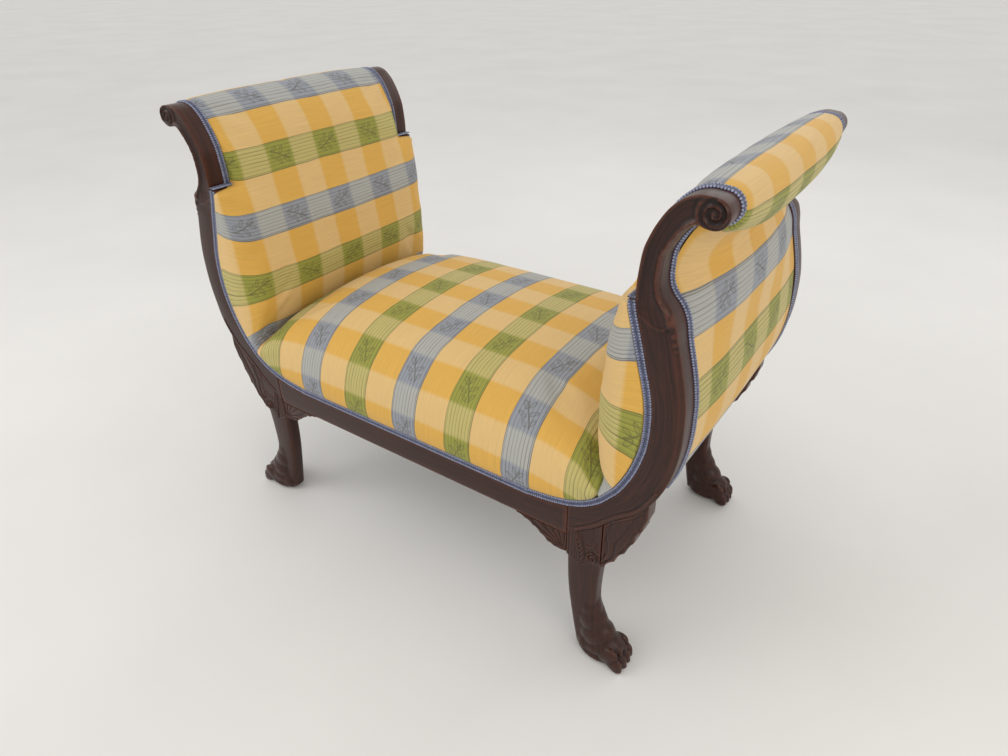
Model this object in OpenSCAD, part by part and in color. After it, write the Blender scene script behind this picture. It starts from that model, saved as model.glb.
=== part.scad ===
// Recamier: an upholstered bench with two scrolled arms, no back, and four paw-footed legs.
// X runs along the length, -Y is the front, Z is up, and the floor is z = 0.
// The bench is the same at both ends and at front and back, so one quarter is drawn and mirrored.

/* [Overall] */
// Length over the two wood scrolls
overall_l = 1200; // [1000:10:1450]
// Depth over the front and back stiles
frame_d = 610; // [500:5:740]
// Height of the tops of the wood scrolls
scroll_h = 948; // [780:2:1140]
// Height of the top edge of the show-wood seat rails
seat_line_h = 347; // [300:1:400]

/* [Stiles] */
// How far an arm leans out, from the seat rail's end to the outside of its scroll
arm_reach = 207; // [170:1:250]
// Width of a stile's curved band at its middle
stile_w = 50; // [41:1:60]
// Thickness of a stile, front to back
stile_t = 50; // [44:1:60]

/* [Rails] */
// Height of the show-wood face of a seat rail
rail_h = 55; // [46:1:66]
// Thickness of a front or back seat rail
rail_t = 40; // [34:1:48]
// Thickness of an end seat rail
end_rail_t = 28; // [22:1:34]
// Length of a seat rail's tenon
tenon_l = 18; // [12:1:24]
// Thickness of a seat rail's tenon
tenon_t = 12; // [8:1:14]
// Height of a seat rail's tenon
tenon_h = 32; // [20:1:36]
// Diameter of the round tenons on the bars between two stiles
bar_pin_d = 14; // [10:1:16]
// Length of those round tenons
bar_pin_l = 16; // [10:1:24]
// Height of the brace across the middle of the seat
brace_h = 34; // [24:1:44]
// Width of that brace
brace_w = 30; // [22:1:40]

/* [Legs] */
// Width of a leg along the bench, below its carved top
leg_w = 62; // [52:1:74]
// Thickness of a leg, front to back
leg_t = 34; // [30:1:44]
// Length of a paw, heel to toe
paw_l = 94; // [84:1:112]
// Width of a paw across its toes
paw_w = 64; // [56:1:76]
// Height of a paw above the floor
paw_h = 112; // [96:1:130]
// Diameter of the dowels that hold a leg to its stile
dowel_d = 10; // [8:1:12]
// Length of those dowels
dowel_l = 46; // [36:1:54]

/* [Carved brackets] */
// Length of the carved bracket under a seat rail
ear_l = 112; // [90:1:130]
// Drop of that bracket below the rail
ear_h = 44; // [36:1:54]
// Thickness of that bracket
ear_t = 20; // [14:1:24]
// Height on the leg at which the outer leaf starts
leaf_foot_h = 250; // [225:1:285]
// Spread of the outer leaf away from the leg
leaf_l = 78; // [64:1:90]

/* [Upholstery] */
// Height of the seat's crown above the floor
seat_crown_h = 545; // [480:1:580]
// How much lower the seat is where it meets an arm
seat_dip = 93; // [60:1:100]
// Thickness of an arm pad over its middle, from the stile's face line
arm_pad_t = 124; // [104:1:148]
// Width of the braid that edges the upholstery
gimp_w = 13; // [10:1:16]
// Thickness of that braid
gimp_t = 4; // [3:0.5:5]
// Thickness of the cover cloth with its wadding
cover_t = 2; // [1.5:0.1:3]
// Thickness of burlap, lining and dust cloth
burlap_t = 1.5; // [1:0.1:2]
// Width of a webbing strap
strap_w = 50; // [40:1:60]
// Thickness of a webbing strap
strap_t = 1.6; // [1.2:0.1:2]
// Wire thickness of a seat spring
wire_d = 4; // [3:0.2:4.6]
// Outer diameter of a seat spring at its ends
spring_d = 76; // [60:1:86]

/* [Hidden] */
$fn = 48;

// Clearance at a glued joint, and between cloth pieces that lie on each other
fit_gap = 0.2;
soft_gap = 0.3;
// One overrun for every cut that leaves a face
overrun = 1;
// Depth of the rebate that the braid lies in
rebate_d = 3;

half_l = overall_l / 2;
half_d = frame_d / 2;
arm_h = scroll_h - seat_line_h;
leg_h = seat_line_h - rail_h;
// Where a seat rail ends and a stile begins
block_x = half_l - arm_reach;

// Reach, rise and width of a stile along its face line, from the seat rail up to the scroll's top,
// as shares of arm_reach, arm_h and stile_w. The last column is the arm pad, as a share of arm_pad_t.
stile_shares = [
    [0.000, 0.025, 1.10, 0.12], [0.155, 0.048, 0.90, 0.14], [0.295, 0.083, 0.74, 0.16],
    [0.400, 0.125, 0.84, 0.20], [0.465, 0.155, 0.94, 0.40], [0.550, 0.213, 1.00, 0.68],
    [0.606, 0.268, 1.02, 0.85], [0.643, 0.321, 1.00, 0.92], [0.657, 0.368, 1.00, 0.96],
    [0.657, 0.421, 1.00, 0.96], [0.645, 0.466, 1.02, 0.93], [0.618, 0.512, 1.04, 0.88],
    [0.580, 0.559, 1.06, 0.79], [0.541, 0.609, 1.06, 0.68], [0.498, 0.661, 1.10, 0.53],
    [0.462, 0.704, 1.00, 0.37], [0.445, 0.737, 0.82, 0.27], [0.441, 0.770, 0.68, 0.21],
    [0.446, 0.805, 0.62, 0.18], [0.464, 0.857, 0.60, 0.155], [0.498, 0.892, 0.62, 0.14],
    [0.543, 0.925, 0.66, 0.13], [0.609, 0.960, 0.71, 0.12], [0.686, 0.9845, 0.77, 0.115],
    [0.749, 0.9953, 0.81, 0.105], [0.816, 0.9998, 0.83, 0.105], [0.899, 0.9976, 0.84, 0.105]];
// Row of the table at which the upholstery steps back behind the stile
notch_row = 16;
// Rows at which the arm pad, the outer rail and the outer panel start or end
pad_row = 3;
outer_rail_low_row = 3;
outer_rail_top_row = 5;
neck_row = 20;
slat_row = 10;
tacking_row = 6;
wadding_row = 12;

// The seat rail's face line from the middle to its end, as shares of block_x and of its rise
rail_shares = [[0, 0], [0.70, 0.0], [0.80, 0.12], [0.91, 0.48], [1, 1]];

// A point on a smooth curve through four points, between the middle two
function between(a, b, c, d, t) =
    0.5 * (2 * b + (c - a) * t + (2 * a - 5 * b + 4 * c - d) * t * t
        + (3 * b - a - 3 * c + d) * t * t * t);
function smooth(p, n) = let (m = len(p) - 1)
    [for (i = [0:m - 1]) for (k = [0:n - 1])
        between(p[max(i - 1, 0)], p[i], p[i + 1], p[min(i + 2, m)], k / n), p[m]];
function along(p, i) = p[min(i + 1, len(p) - 1)] - p[max(i - 1, 0)];
// Unit normal on the upholstered side of a path that runs outward and up
function normal_at(p, i) = let (d = along(p, i)) [-d[1], d[0]] / norm(d);
function shifted(p, w) = [for (i = [0:len(p) - 1]) p[i] + normal_at(p, i) * w[i]];
function same(p, w) = [for (q = p) w];
function flip(p) = [for (i = [len(p) - 1:-1:0]) p[i]];
function part_of(p, a, b) = [for (i = [a:b]) p[i]];

// Face line and back line of a stile, smoothed, with the steps of the smoothing
steps = 4;
face_rows = [for (s = stile_shares) [block_x + arm_reach * s[0], seat_line_h + arm_h * s[1]]];
face = smooth(face_rows, steps);
widths = smooth([for (s = stile_shares) [stile_w * s[2], 0]], steps);
back = shifted(face, [for (w = widths) -w[0]]);
curl_r = stile_w * stile_shares[len(stile_shares) - 1][2] / 2;
curl_c = (face[len(face) - 1] + back[len(back) - 1]) / 2;
block_top = face[0][1];
block_low = block_top - stile_w * stile_shares[0][2];
notch_i = notch_row * steps;

rail_rise = block_top - seat_line_h;
rail_face = [for (p = smooth([for (s = rail_shares)
    [block_x * s[0], seat_line_h + rail_rise * s[1]]], steps)) [p[0], max(p[1], seat_line_h)]];
// Face line from the middle of the bench to the notch, and the line a braid's width inside it
half_face = concat(part_of(rail_face, 0, len(rail_face) - 2), part_of(face, 0, notch_i - 1));
half_edge = shifted(half_face, same(half_face, gimp_w));

// Underside of a stile, where the leg and the outer leaf fit against it
under_rows = [for (i = [0:outer_rail_top_row * steps]) if (back[i][0] > block_x + fit_gap) back[i]];
under = concat([[block_x, block_low]], under_rows);
function under_z(x) = lookup(x, under) - fit_gap;

// The strip of wood that the braid lies against, between two places along the bench
module strip_outline(x0, x1) {
    intersection() {
        polygon(concat(half_face, flip(half_edge)));
        translate([x0, 0]) square([x1 - x0, scroll_h]);
    }
}
// Draws a flat outline that is given in X and Z, from the front plane y0 back by t
module slab(y0, t) { translate([0, y0 + t, 0]) rotate([90, 0, 0]) linear_extrude(t) children(); }
module at_front_right() { children(); }
module at_front_left() { mirror([1, 0, 0]) children(); }
module at_back_right() { mirror([0, 1, 0]) children(); }
module at_back_left() { mirror([1, 0, 0]) mirror([0, 1, 0]) children(); }
module at_left() { mirror([1, 0, 0]) children(); }
module in_wood() { color("#4a2a20") children(); }
module in_hidden_wood() { color("#c2a070") children(); }
module in_fabric() { color("#e2b860") children(); }
module in_gimp() { color("#5a6290") children(); }
module in_burlap() { color("#b59a6a") children(); }
module in_stuffing() { color("#ded6c4") children(); }
module in_steel() { color("#9a9ca0") children(); }

// Solid made of strips: each section lists its outer points and then its inner ones backwards.
// The strips on both sides are split along the same diagonals, so nested solids stay apart.
module loft(sections) {
    n = len(sections[0]);
    m = len(sections);
    points = [for (s = sections) for (p = s) p];
    sides = [for (j = [0:m - 2]) for (i = [0:n - 1]) let (a = j * n + i, b = j * n + (i + 1) % n)
        each i < n / 2 ? [[a, a + n, b], [b, a + n, b + n]] : [[a, a + n, b + n], [a, b + n, b]]];
    first = [for (i = [0:n / 2 - 2]) each [[i, i + 1, n - 1 - i], [i + 1, n - 2 - i, n - 1 - i]]];
    last = [for (f = first) [f[2], f[1], f[0]] + (m - 1) * n * [1, 1, 1]];
    polyhedron(concat(points), concat(first, last, sides), convexity = 8);
}

// Bars between the stiles
bar_hole_d = bar_pin_d + 2 * fit_gap;
bar_l = frame_d - 2 * stile_t - 2 * fit_gap;
module cross_pin(x, z, d, extra) {
    translate([x, half_d - stile_t + bar_pin_l + extra, z]) rotate([90, 0, 0])
        cylinder(h = bar_l + 2 * bar_pin_l + 2 * fit_gap + 2 * extra, d = d);
}
module cross_bar(outline, pin) {
    slab(-bar_l / 2, bar_l) polygon(outline);
    cross_pin(pin[0], pin[1], bar_pin_d, -2 * fit_gap);
}
slat_i = slat_row * steps;
tacking_i = tacking_row * steps;
slat_half_rows = 3;
tacking_h = 30;
panel_t = cover_t + burlap_t + 2 * soft_gap;
// Outline of a bar that fills the space between the face line and the outer panel
function bar_outline(i, n) = concat(
    [for (k = [i - n:i + n]) face[k] - normal_at(face, k) * soft_gap],
    [for (k = [i + n:-1:i - n]) back[k] + normal_at(face, k) * (panel_t + soft_gap)]);
function bar_centre(i) = (face[i] + back[i]) / 2;
tacking_share = 0.62;
tacking_c = face[tacking_i] * tacking_share + back[tacking_i] * (1 - tacking_share);
tacking_w = stile_w / 2;
outer_rail_share = 0.52;
outer_rail_rows = [for (i = [outer_rail_low_row * steps:outer_rail_top_row * steps]) i];
outer_rail_inner = [for (i = outer_rail_rows)
    back[i] * outer_rail_share + face[i] * (1 - outer_rail_share)];
outer_pin_i = round((outer_rail_low_row + outer_rail_top_row) / 2 * steps);
outer_pin_share = 0.76;
outer_pin = back[outer_pin_i] * outer_pin_share + face[outer_pin_i] * (1 - outer_pin_share);

// Seat rail tenons and where they enter a stile
rail_tenon_y = -half_d + rebate_d + tenon_t;
rail_tenon_z = (block_low + block_top) / 2;
// How far the end rails stand outside the ends of the seat rails
end_rail_out = 7;
end_rail_x = block_x + end_rail_out;
end_rail_low = leg_h - strap_t;
end_rail_top = seat_line_h + gimp_w;
end_tenon_x = end_rail_x + end_rail_t / 2;
end_tenon_z = block_top - tenon_h / 2 - rebate_d;
end_tenon_h = tenon_h - 2 * rebate_d;

// Leg dowels stand in the middle of the leg's thickness
dowel_y = -half_d + leg_t / 2;
dowel_place_shares = [0.40, 0.88];
dowel_xs = [for (s = dowel_place_shares) block_x + leg_w * s];
dowel_share = 0.55;
module dowels(extra) {
    for (x = dowel_xs)
        translate([x, dowel_y, under_z(x) - dowel_l * dowel_share - extra])
            cylinder(h = dowel_l + 2 * extra, d = dowel_d + 2 * extra);
}

// Stile: an S-shaped band with a curl at its top, and a recessed strip under the braid
curl_eye_share = 0.36;
curl_eye_t = 2;
module stile() {
    difference() {
        union() {
            slab(-half_d, stile_t) {
                polygon(concat([[block_x, block_top]], face, flip(back), [[block_x, block_low]]));
                translate(curl_c) circle(curl_r);
            }
            slab(-half_d + rebate_d, stile_t - rebate_d) strip_outline(block_x, half_l);
            slab(-half_d - curl_eye_t, curl_eye_t + overrun)
                translate(curl_c) circle(curl_r * curl_eye_share);
        }
        translate([block_x - overrun, rail_tenon_y - tenon_t / 2 - fit_gap,
                rail_tenon_z - tenon_h / 2 - fit_gap])
            cube([tenon_l + overrun + fit_gap, tenon_t + 2 * fit_gap, tenon_h + 2 * fit_gap]);
        translate([end_tenon_x - tenon_t / 2 - fit_gap, -half_d + stile_t - tenon_l - fit_gap,
                end_tenon_z - end_tenon_h / 2 - fit_gap])
            cube([tenon_t + 2 * fit_gap, tenon_l + overrun + fit_gap, end_tenon_h + 2 * fit_gap]);
        dowels(fit_gap);
        for (c = [curl_c, bar_centre(slat_i), tacking_c, outer_pin])
            translate([c[0], -half_d + stile_t + overrun, c[1]]) rotate([90, 0, 0])
                cylinder(h = bar_pin_l + overrun + fit_gap, d = bar_hole_d);
    }
}

// Screws that hold the corner blocks
screw_d = 4;
screw_l = 50;
screw_head_d = 8;
screw_head_t = 3;
block_leg = 72;
block_h = 38;
block_lift = 9;
block_z = leg_h + block_lift;
block_back_y = -half_d + rail_t + fit_gap;
// Where the screws stand in a block, along it, across it and up it, and how much of one is in its rail
screw_along_share = 0.62;
screw_across_share = 0.72;
screw_up_shares = [0.35, 0.65];
screw_grip_share = 0.36;
screw_x = block_x - block_leg * screw_along_share;
screw_y = -half_d + rail_t + block_leg * screw_across_share;
screw_z1 = block_z + block_h * screw_up_shares[0];
screw_z2 = block_z + block_h * screw_up_shares[1];
screw_tip_y = -half_d + rail_t - screw_l * screw_grip_share;
screw_tip_x = end_rail_x + screw_l * screw_grip_share;
// Both screws of a corner: one into the seat rail and one into the end rail
module screw_pair(extra, head_run) {
    translate([screw_x, screw_tip_y - extra, screw_z1]) rotate([-90, 0, 0]) {
        cylinder(h = screw_l + 2 * extra, d = screw_d + 2 * extra);
        translate([0, 0, screw_l - screw_head_t])
            cylinder(h = screw_head_t + extra + head_run, d = screw_head_d + 2 * extra);
    }
    translate([screw_tip_x + extra, screw_y, screw_z2]) rotate([0, -90, 0]) {
        cylinder(h = screw_l + 2 * extra, d = screw_d + 2 * extra);
        translate([0, 0, screw_l - screw_head_t])
            cylinder(h = screw_head_t + extra + head_run, d = screw_head_d + 2 * extra);
    }
}
module corner_block() {
    difference() {
        translate([0, 0, block_z]) linear_extrude(block_h) polygon([
            [block_x - fit_gap, block_back_y], [block_x - block_leg, block_back_y],
            [block_x - block_leg, block_back_y + block_leg / 4],
            [block_x - block_leg / 4, block_back_y + block_leg],
            [end_rail_x - fit_gap, block_back_y + block_leg],
            [end_rail_x - fit_gap, -half_d + stile_t + fit_gap],
            [block_x - fit_gap, -half_d + stile_t + fit_gap]]);
        screw_pair(fit_gap, block_leg);
    }
}

// Front seat rail, drawn whole
brace_lift = 10;
brace_pin_share = 0.4;
brace_z = leg_h + brace_lift;
brace_pin_d = brace_w / 2;
brace_pin_l = rail_t * brace_pin_share;
module seat_rail() {
    span = 2 * (block_x - fit_gap);
    top = concat([for (p = flip(rail_face)) [-p[0], p[1]]], rail_face);
    difference() {
        union() {
            slab(-half_d, rail_t) intersection() {
                polygon(concat(top, [[block_x, leg_h], [-block_x, leg_h]]));
                translate([-span / 2, leg_h]) square([span, 2 * rail_h]);
            }
            slab(-half_d + rebate_d, rail_t - rebate_d) {
                strip_outline(0, block_x - fit_gap);
                mirror([1, 0, 0]) strip_outline(0, block_x - fit_gap);
            }
            for (s = [-1, 1])
                translate([s * (span / 2 + tenon_l / 2 - overrun / 2), rail_tenon_y, rail_tenon_z])
                    cube([tenon_l + overrun, tenon_t, tenon_h], center = true);
        }
        translate([0, -half_d + rail_t + overrun, brace_z + brace_h / 2]) rotate([90, 0, 0])
            cylinder(h = brace_pin_l + overrun + fit_gap, d = brace_pin_d + 2 * fit_gap);
        screw_pair(fit_gap, 0);
        mirror([1, 0, 0]) screw_pair(fit_gap, 0);
    }
}
module brace() {
    l = frame_d - 2 * rail_t - 2 * fit_gap;
    translate([-brace_w / 2, -l / 2, brace_z]) cube([brace_w, l, brace_h]);
    translate([0, l / 2 + brace_pin_l, brace_z + brace_h / 2]) rotate([90, 0, 0])
        cylinder(h = l + 2 * brace_pin_l, d = brace_pin_d);
}
module end_rail() {
    l = frame_d - 2 * stile_t - 2 * fit_gap;
    difference() {
        union() {
            translate([end_rail_x, -l / 2, end_rail_low])
                cube([end_rail_t, l, end_rail_top - end_rail_low]);
            translate([end_tenon_x - tenon_t / 2, -l / 2 - tenon_l + fit_gap, end_tenon_z - end_tenon_h / 2])
                cube([tenon_t, l + 2 * tenon_l - 2 * fit_gap, end_tenon_h]);
        }
        screw_pair(fit_gap, 0);
        mirror([0, 1, 0]) screw_pair(fit_gap, 0);
    }
}

// Inner and outer edge of a leg, as shares of leg_w and leg_h
leg_inner_shares = [[0, 0.856], [0.05, 0.66], [0.15, 0.50], [0.30, 0.36], [0.50, 0.20], [0.72, 0.06],
    [0.80, 0]];
leg_outer_shares = [[1.14, 0.856], [1.08, 0.70], [1.055, 0.56], [1.09, 0.46], [1.24, 0.385]];
// Top line of a paw from its ankle to its toe, as shares of paw_l and paw_h from its heel
paw_shares = [[0.20, 1.02], [0.42, 0.96], [0.62, 0.90], [0.78, 0.76], [0.88, 0.54], [0.90, 0.30]];
leg_out_x = block_x + leg_w * leg_outer_shares[0][0];
heel_x = block_x + leg_w * leg_inner_shares[len(leg_inner_shares) - 1][0];
heel_shares = [0.03, 0.62];
// Radius of a toe and distance between toes, as shares of paw_w
toe_share = 0.156;
toe_step_share = 0.323;
toe_r = paw_w * toe_share;
toe_step = paw_w * toe_step_share;
// Pad and knuckle of a toe: radius, distance behind the tip and height, as shares of toe_r
toe_pad_shares = [1.1, 1, 1];
toe_knuckle_shares = [1.18, 1.7, 2.5];
// Height at which the paw's back leaves the leg
ankle_share = 0.9;
module paw() {
    y = -half_d + leg_t / 2;
    sole = paw_w - toe_r;
    top = smooth([for (s = paw_shares) [heel_x + paw_l * s[0], paw_h * s[1]]], steps);
    tip = heel_x + paw_l;
    slab(y - sole / 2, sole)
        polygon(concat([[heel_x, 0], [heel_x + paw_l * heel_shares[0], paw_h * heel_shares[1]]], top,
            [[tip - toe_r, 0]]));
    // Three toes, each a knuckle behind a pad
    for (k = [-1:1]) intersection() {
        union() {
            for (t = [toe_pad_shares, toe_knuckle_shares])
                translate([tip - toe_r * t[1], y + k * toe_step, toe_r * t[2]]) sphere(toe_r * t[0]);
            translate([tip - toe_r * toe_knuckle_shares[1], y + k * toe_step, 0])
                cylinder(h = toe_r * toe_knuckle_shares[2], r = toe_r * toe_pad_shares[0]);
        }
        translate([heel_x, y - paw_w, 0]) cube([paw_l, 2 * paw_w, paw_h]);
    }
}
module leg() {
    inner = smooth([for (s = leg_inner_shares) [block_x + leg_w * s[0], leg_h * s[1]]], steps);
    outer = smooth([for (s = leg_outer_shares) [block_x + leg_w * s[0], leg_h * s[1]]], steps);
    top = [for (p = under) if (p[0] < leg_out_x - overrun) [p[0], p[1] - fit_gap]];
    difference() {
        union() {
            slab(-half_d, leg_t)
                polygon(concat(inner, [[heel_x + paw_l / 2, 0], [heel_x + paw_l / 2, paw_h * ankle_share]],
                    flip(outer), [[leg_out_x, under_z(leg_out_x)]], flip(top)));
            paw();
        }
        dowels(fit_gap);
    }
}

// Carved bracket under the rail, as shares of ear_l and ear_h from the leg's inner top corner
ear_shares = [[0, 0.02], [0, 0.96], [0.14, 1.00], [0.28, 0.94], [0.42, 0.74], [0.56, 0.46], [0.74, 0.20],
    [0.90, 0.06], [1.00, 0.02]];
module ear() {
    slab(-half_d + fit_gap, ear_t) polygon([for (s = ear_shares)
        [block_x - fit_gap * 2 - ear_l * s[0], leg_h - ear_h * s[1] - fit_gap]]);
}
// Outer leaf between the leg and the stile's underside, as shares of leaf_l and of its height
leaf_shares = [[1.00, 0.86], [0.97, 0.78], [0.88, 0.68], [0.80, 0.60], [0.70, 0.47], [0.58, 0.36],
    [0.44, 0.26], [0.30, 0.16], [0.16, 0.08], [0.05, 0.0]];
leaf_t = leg_t - 2 * overrun;
module leaf() {
    x0 = leg_out_x + fit_gap;
    x1 = x0 + leaf_l;
    z1 = under_z(x1);
    rise = z1 - leaf_foot_h;
    top = [for (p = under) if (p[0] > x0 + overrun && p[0] < x1 - overrun) [p[0], p[1] - fit_gap * 2]];
    slab(-half_d + overrun, leaf_t)
        polygon(concat([[x0, leaf_foot_h], [x0, under_z(x0) - fit_gap]], top, [[x1, z1 - fit_gap]],
            smooth([for (s = leaf_shares) [x0 + leaf_l * s[0], leaf_foot_h + rise * s[1]]], 2)));
}

// Roll rail: the bar inside an arm's roll, a little smaller than the stile's head
head_i = (neck_row + 2) * steps;
last_i = len(face) - 1;
module roll_rail() {
    inset = burlap_t + 2 * soft_gap;
    inner = [for (i = [head_i:last_i]) face[i] - normal_at(face, i) * inset];
    outer = [for (i = [head_i:last_i]) back[i] + normal_at(face, i) * inset];
    slab(-bar_l / 2, bar_l) {
        polygon(concat(inner, flip(outer)));
        translate(curl_c) circle(curl_r - inset);
    }
    cross_pin(curl_c[0], curl_c[1], bar_pin_d, -2 * fit_gap);
}
module arm_slat() { cross_bar(bar_outline(slat_i, slat_half_rows), bar_centre(slat_i)); }
module tacking_rail() {
    c = tacking_c;
    cross_bar([c + [-tacking_w / 2, -tacking_h / 2], c + [tacking_w / 2, -tacking_h / 2],
        c + [tacking_w / 2, tacking_h / 2], c + [-tacking_w / 2, tacking_h / 2]], c);
}
module outer_rail() {
    cross_bar(concat([for (i = outer_rail_rows) back[i]], flip(outer_rail_inner)), outer_pin);
}

// Webbing: straps across the seat, and straps along it in a layer below
cross_count = 6;
cross_pitch = 118;
long_pitch = 108;
long_count = 4;
// Straps across the seat on which springs stand, clear of the brace
spring_straps = [0, 1, 4, 5];
strap_end = ear_t + overrun;
module webbing() {
    cross_l = frame_d - 2 * strap_end;
    long_l = 2 * (end_rail_x + end_rail_t - overrun);
    for (k = [0:cross_count - 1])
        translate([(k - (cross_count - 1) / 2) * cross_pitch - strap_w / 2, -cross_l / 2, leg_h - strap_t])
            cube([strap_w, cross_l, strap_t - fit_gap / 2]);
    for (k = [0:long_count - 1])
        translate([-long_l / 2, (k - (long_count - 1) / 2) * long_pitch - strap_w / 2,
                end_rail_low - strap_t - fit_gap / 2])
            cube([long_l, strap_w, strap_t]);
}
// Hourglass coil springs that stand on the straps across the seat
spring_turns = 3;
spring_steps = 8;
wire_sides = 5;
waist_share = 0.66;
spring_low = leg_h + fit_gap + wire_d / 2;
spring_high = end_rail_top - soft_gap - wire_d / 2;
function spring_point(a, c) = let (
        t = a / spring_turns / 360,
        r = (spring_d - wire_d) / 2 * (waist_share + (1 - waist_share) * pow(2 * t - 1, 2)))
    [r * cos(a), r * sin(a), spring_low + (spring_high - spring_low) * t]
        + wire_d / 2 * [cos(a) * cos(c), sin(a) * cos(c), sin(c)];
module spring() {
    n = wire_sides;
    m = spring_turns * spring_steps;
    points = [for (j = [0:m]) for (i = [0:n - 1]) spring_point(j * 360 / spring_steps, i * 360 / n)];
    sides = [for (j = [0:m - 1]) for (i = [0:n - 1]) let (a = j * n + i, b = j * n + (i + 1) % n)
        each [[a, b, a + n], [b, b + n, a + n]]];
    first = [for (i = [1:n - 2]) [0, i + 1, i]];
    last = [for (f = first) [f[0], f[2], f[1]] + m * n * [1, 1, 1]];
    polyhedron(points, concat(sides, first, last), convexity = 8);
}
module springs() {
    for (k = spring_straps) for (y = [-1, 1])
        translate([(k - (cross_count - 1) / 2) * cross_pitch, y * long_pitch, 0]) spring();
}

// Cloth that is stretched flat in the frame, with its corners cut out round the stiles and legs
module flat_cloth(z, t, edge, x0) {
    x1 = end_rail_x + end_rail_t - overrun;
    y0 = half_d - edge;
    y1 = half_d - stile_t - overrun;
    translate([0, 0, z]) linear_extrude(t) polygon([
        [-x0, -y0], [x0, -y0], [x0, -y1], [x1, -y1], [x1, y1], [x0, y1],
        [x0, y0], [-x0, y0], [-x0, y1], [-x1, y1], [-x1, -y1], [-x0, -y1]]);
}
module seat_burlap() {
    flat_cloth(end_rail_top + fit_gap, burlap_t, rebate_d + overrun, block_x * rail_shares[1][0] - overrun);
}
module dust_cloth() {
    flat_cloth(end_rail_low - 2 * strap_t - 2 * fit_gap, strap_t - fit_gap, strap_end + overrun,
        block_x - 2 * overrun);
}

// Seat pad: sections across the depth at stations along the length.
// Each row gives depth and height of the pad's front half, as shares of half_d and of its height.
seat_section_shares = [[-1.000, 0.00], [-1.020, 0.10], [-1.030, 0.23], [-1.010, 0.40], [-0.955, 0.60],
    [-0.860, 0.745], [-0.720, 0.860], [-0.560, 0.925], [-0.380, 0.965], [-0.190, 0.991], [0.000, 1.000]];
// Stations along the seat's half length, each with its share of seat_dip: the end rolls down behind the arm
seat_dip_shares = [[0, 0], [0.20, 0.002], [0.40, 0.012], [0.56, 0.043], [0.66, 0.085], [0.75, 0.145],
    [0.84, 0.26], [0.91, 0.43], [0.96, 0.80], [1, 1]];
// How far the pad runs past a seat rail's end, as a share of arm_reach, so that it stays clear of the arms
seat_end_share = 0.2657;
seat_half_l = block_x + arm_reach * seat_end_share;
seat_low = shifted(half_face, same(half_face, gimp_w + soft_gap));
function seat_top(x) = seat_crown_h - seat_dip * lookup(abs(x) / seat_half_l, seat_dip_shares);
function seat_base(x) = lookup(abs(x), seat_low);
function seat_arch(x, inset) = let (z0 = seat_base(x), h = seat_top(x) - inset - z0,
        half = [for (s = seat_section_shares) [x, (half_d - inset) * s[0], z0 + h * s[1]]])
    concat(half, [for (i = [len(half) - 2:-1:0]) [x, -half[i][1], half[i][2]]]);
seat_stations = concat([for (i = [len(seat_dip_shares) - 1:-1:1]) -seat_dip_shares[i][0]],
    [for (s = seat_dip_shares) s[0]]);
module seat_cover() {
    loft([for (s = seat_stations) let (x = s * seat_half_l)
        concat(seat_arch(x, 0), flip(seat_arch(x, cover_t)))]);
}
module seat_stuffing() {
    loft([for (s = seat_stations) let (
            x = s * (seat_half_l - overrun),
            floor_z = seat_base(x) + burlap_t + 2 * soft_gap,
            arch = [for (p = seat_arch(x, cover_t + 3 * soft_gap)) [x, p[1], max(p[2], floor_z)]])
        concat(arch, flip([for (i = [0:len(arch) - 1])
            [x, arch[0][1] * (1 - 2 * i / (len(arch) - 1)), floor_z - soft_gap]]))]);
}

// Arm pad: wood line, direction and depth of the pad at each row, first up the face, then round the curl
curl_angles = [45, 0, -45, -75];
curl_pad_shares = [0.105, 0.113, 0.21, 0.31];
// Underside of the roll from the curl to the neck: wood and pad places, as shares of curl_r
roll_under_shares = [[-0.33, -0.98, -0.24, -3.10], [-0.90, -1.00, -1.05, -3.14],
    [-1.40, -1.16, -1.74, -2.86], [-1.76, -1.50, -2.10, -2.33]];
pad_face = [for (i = [pad_row:len(stile_shares) - 1]) let (k = i * steps) [face[k], face[k]
    + normal_at(face, k) * arm_pad_t * stile_shares[i][3]]];
pad_curl = [for (i = [0:len(curl_angles) - 1]) let (u = [cos(curl_angles[i]), sin(curl_angles[i])])
    [curl_c + curl_r * u, curl_c + (curl_r + arm_pad_t * curl_pad_shares[i]) * u]];
pad_under = [for (s = roll_under_shares)
    [curl_c + curl_r * [s[0], s[1]], curl_c + curl_r * [s[2], s[3]]]];
pad_rows = concat(pad_face, pad_curl, pad_under);
pad_notch = notch_row - pad_row;
// Rows of the pad with the step at the notch drawn twice, once at each width
pad_order = concat([for (i = [0:pad_notch]) [i, 1]], [for (i = [pad_notch:len(pad_rows) - 1]) [i, 0]]);
arm_station_shares = [0, 0.35, 0.62, 0.80, 0.90, 0.955, 0.985, 1];
arm_stations = concat([for (i = [len(arm_station_shares) - 1:-1:1]) -arm_station_shares[i]],
    arm_station_shares);
arm_crown_share = 0.10;
arm_edge_power = 22;
roll_edge_power = 40;
// Share of its full depth that the pad has at station v: crowned on the arm, even along the roll
function pad_swell(v, roll) = (1 - (roll ? 0 : arm_crown_share) * v * v)
    * sqrt(max(0, 1 - pow(abs(v), roll ? roll_edge_power : arm_edge_power)));
// Room for the straight stretches of the pad's inside along the curved wood
chord_gap = 1.3;
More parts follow.
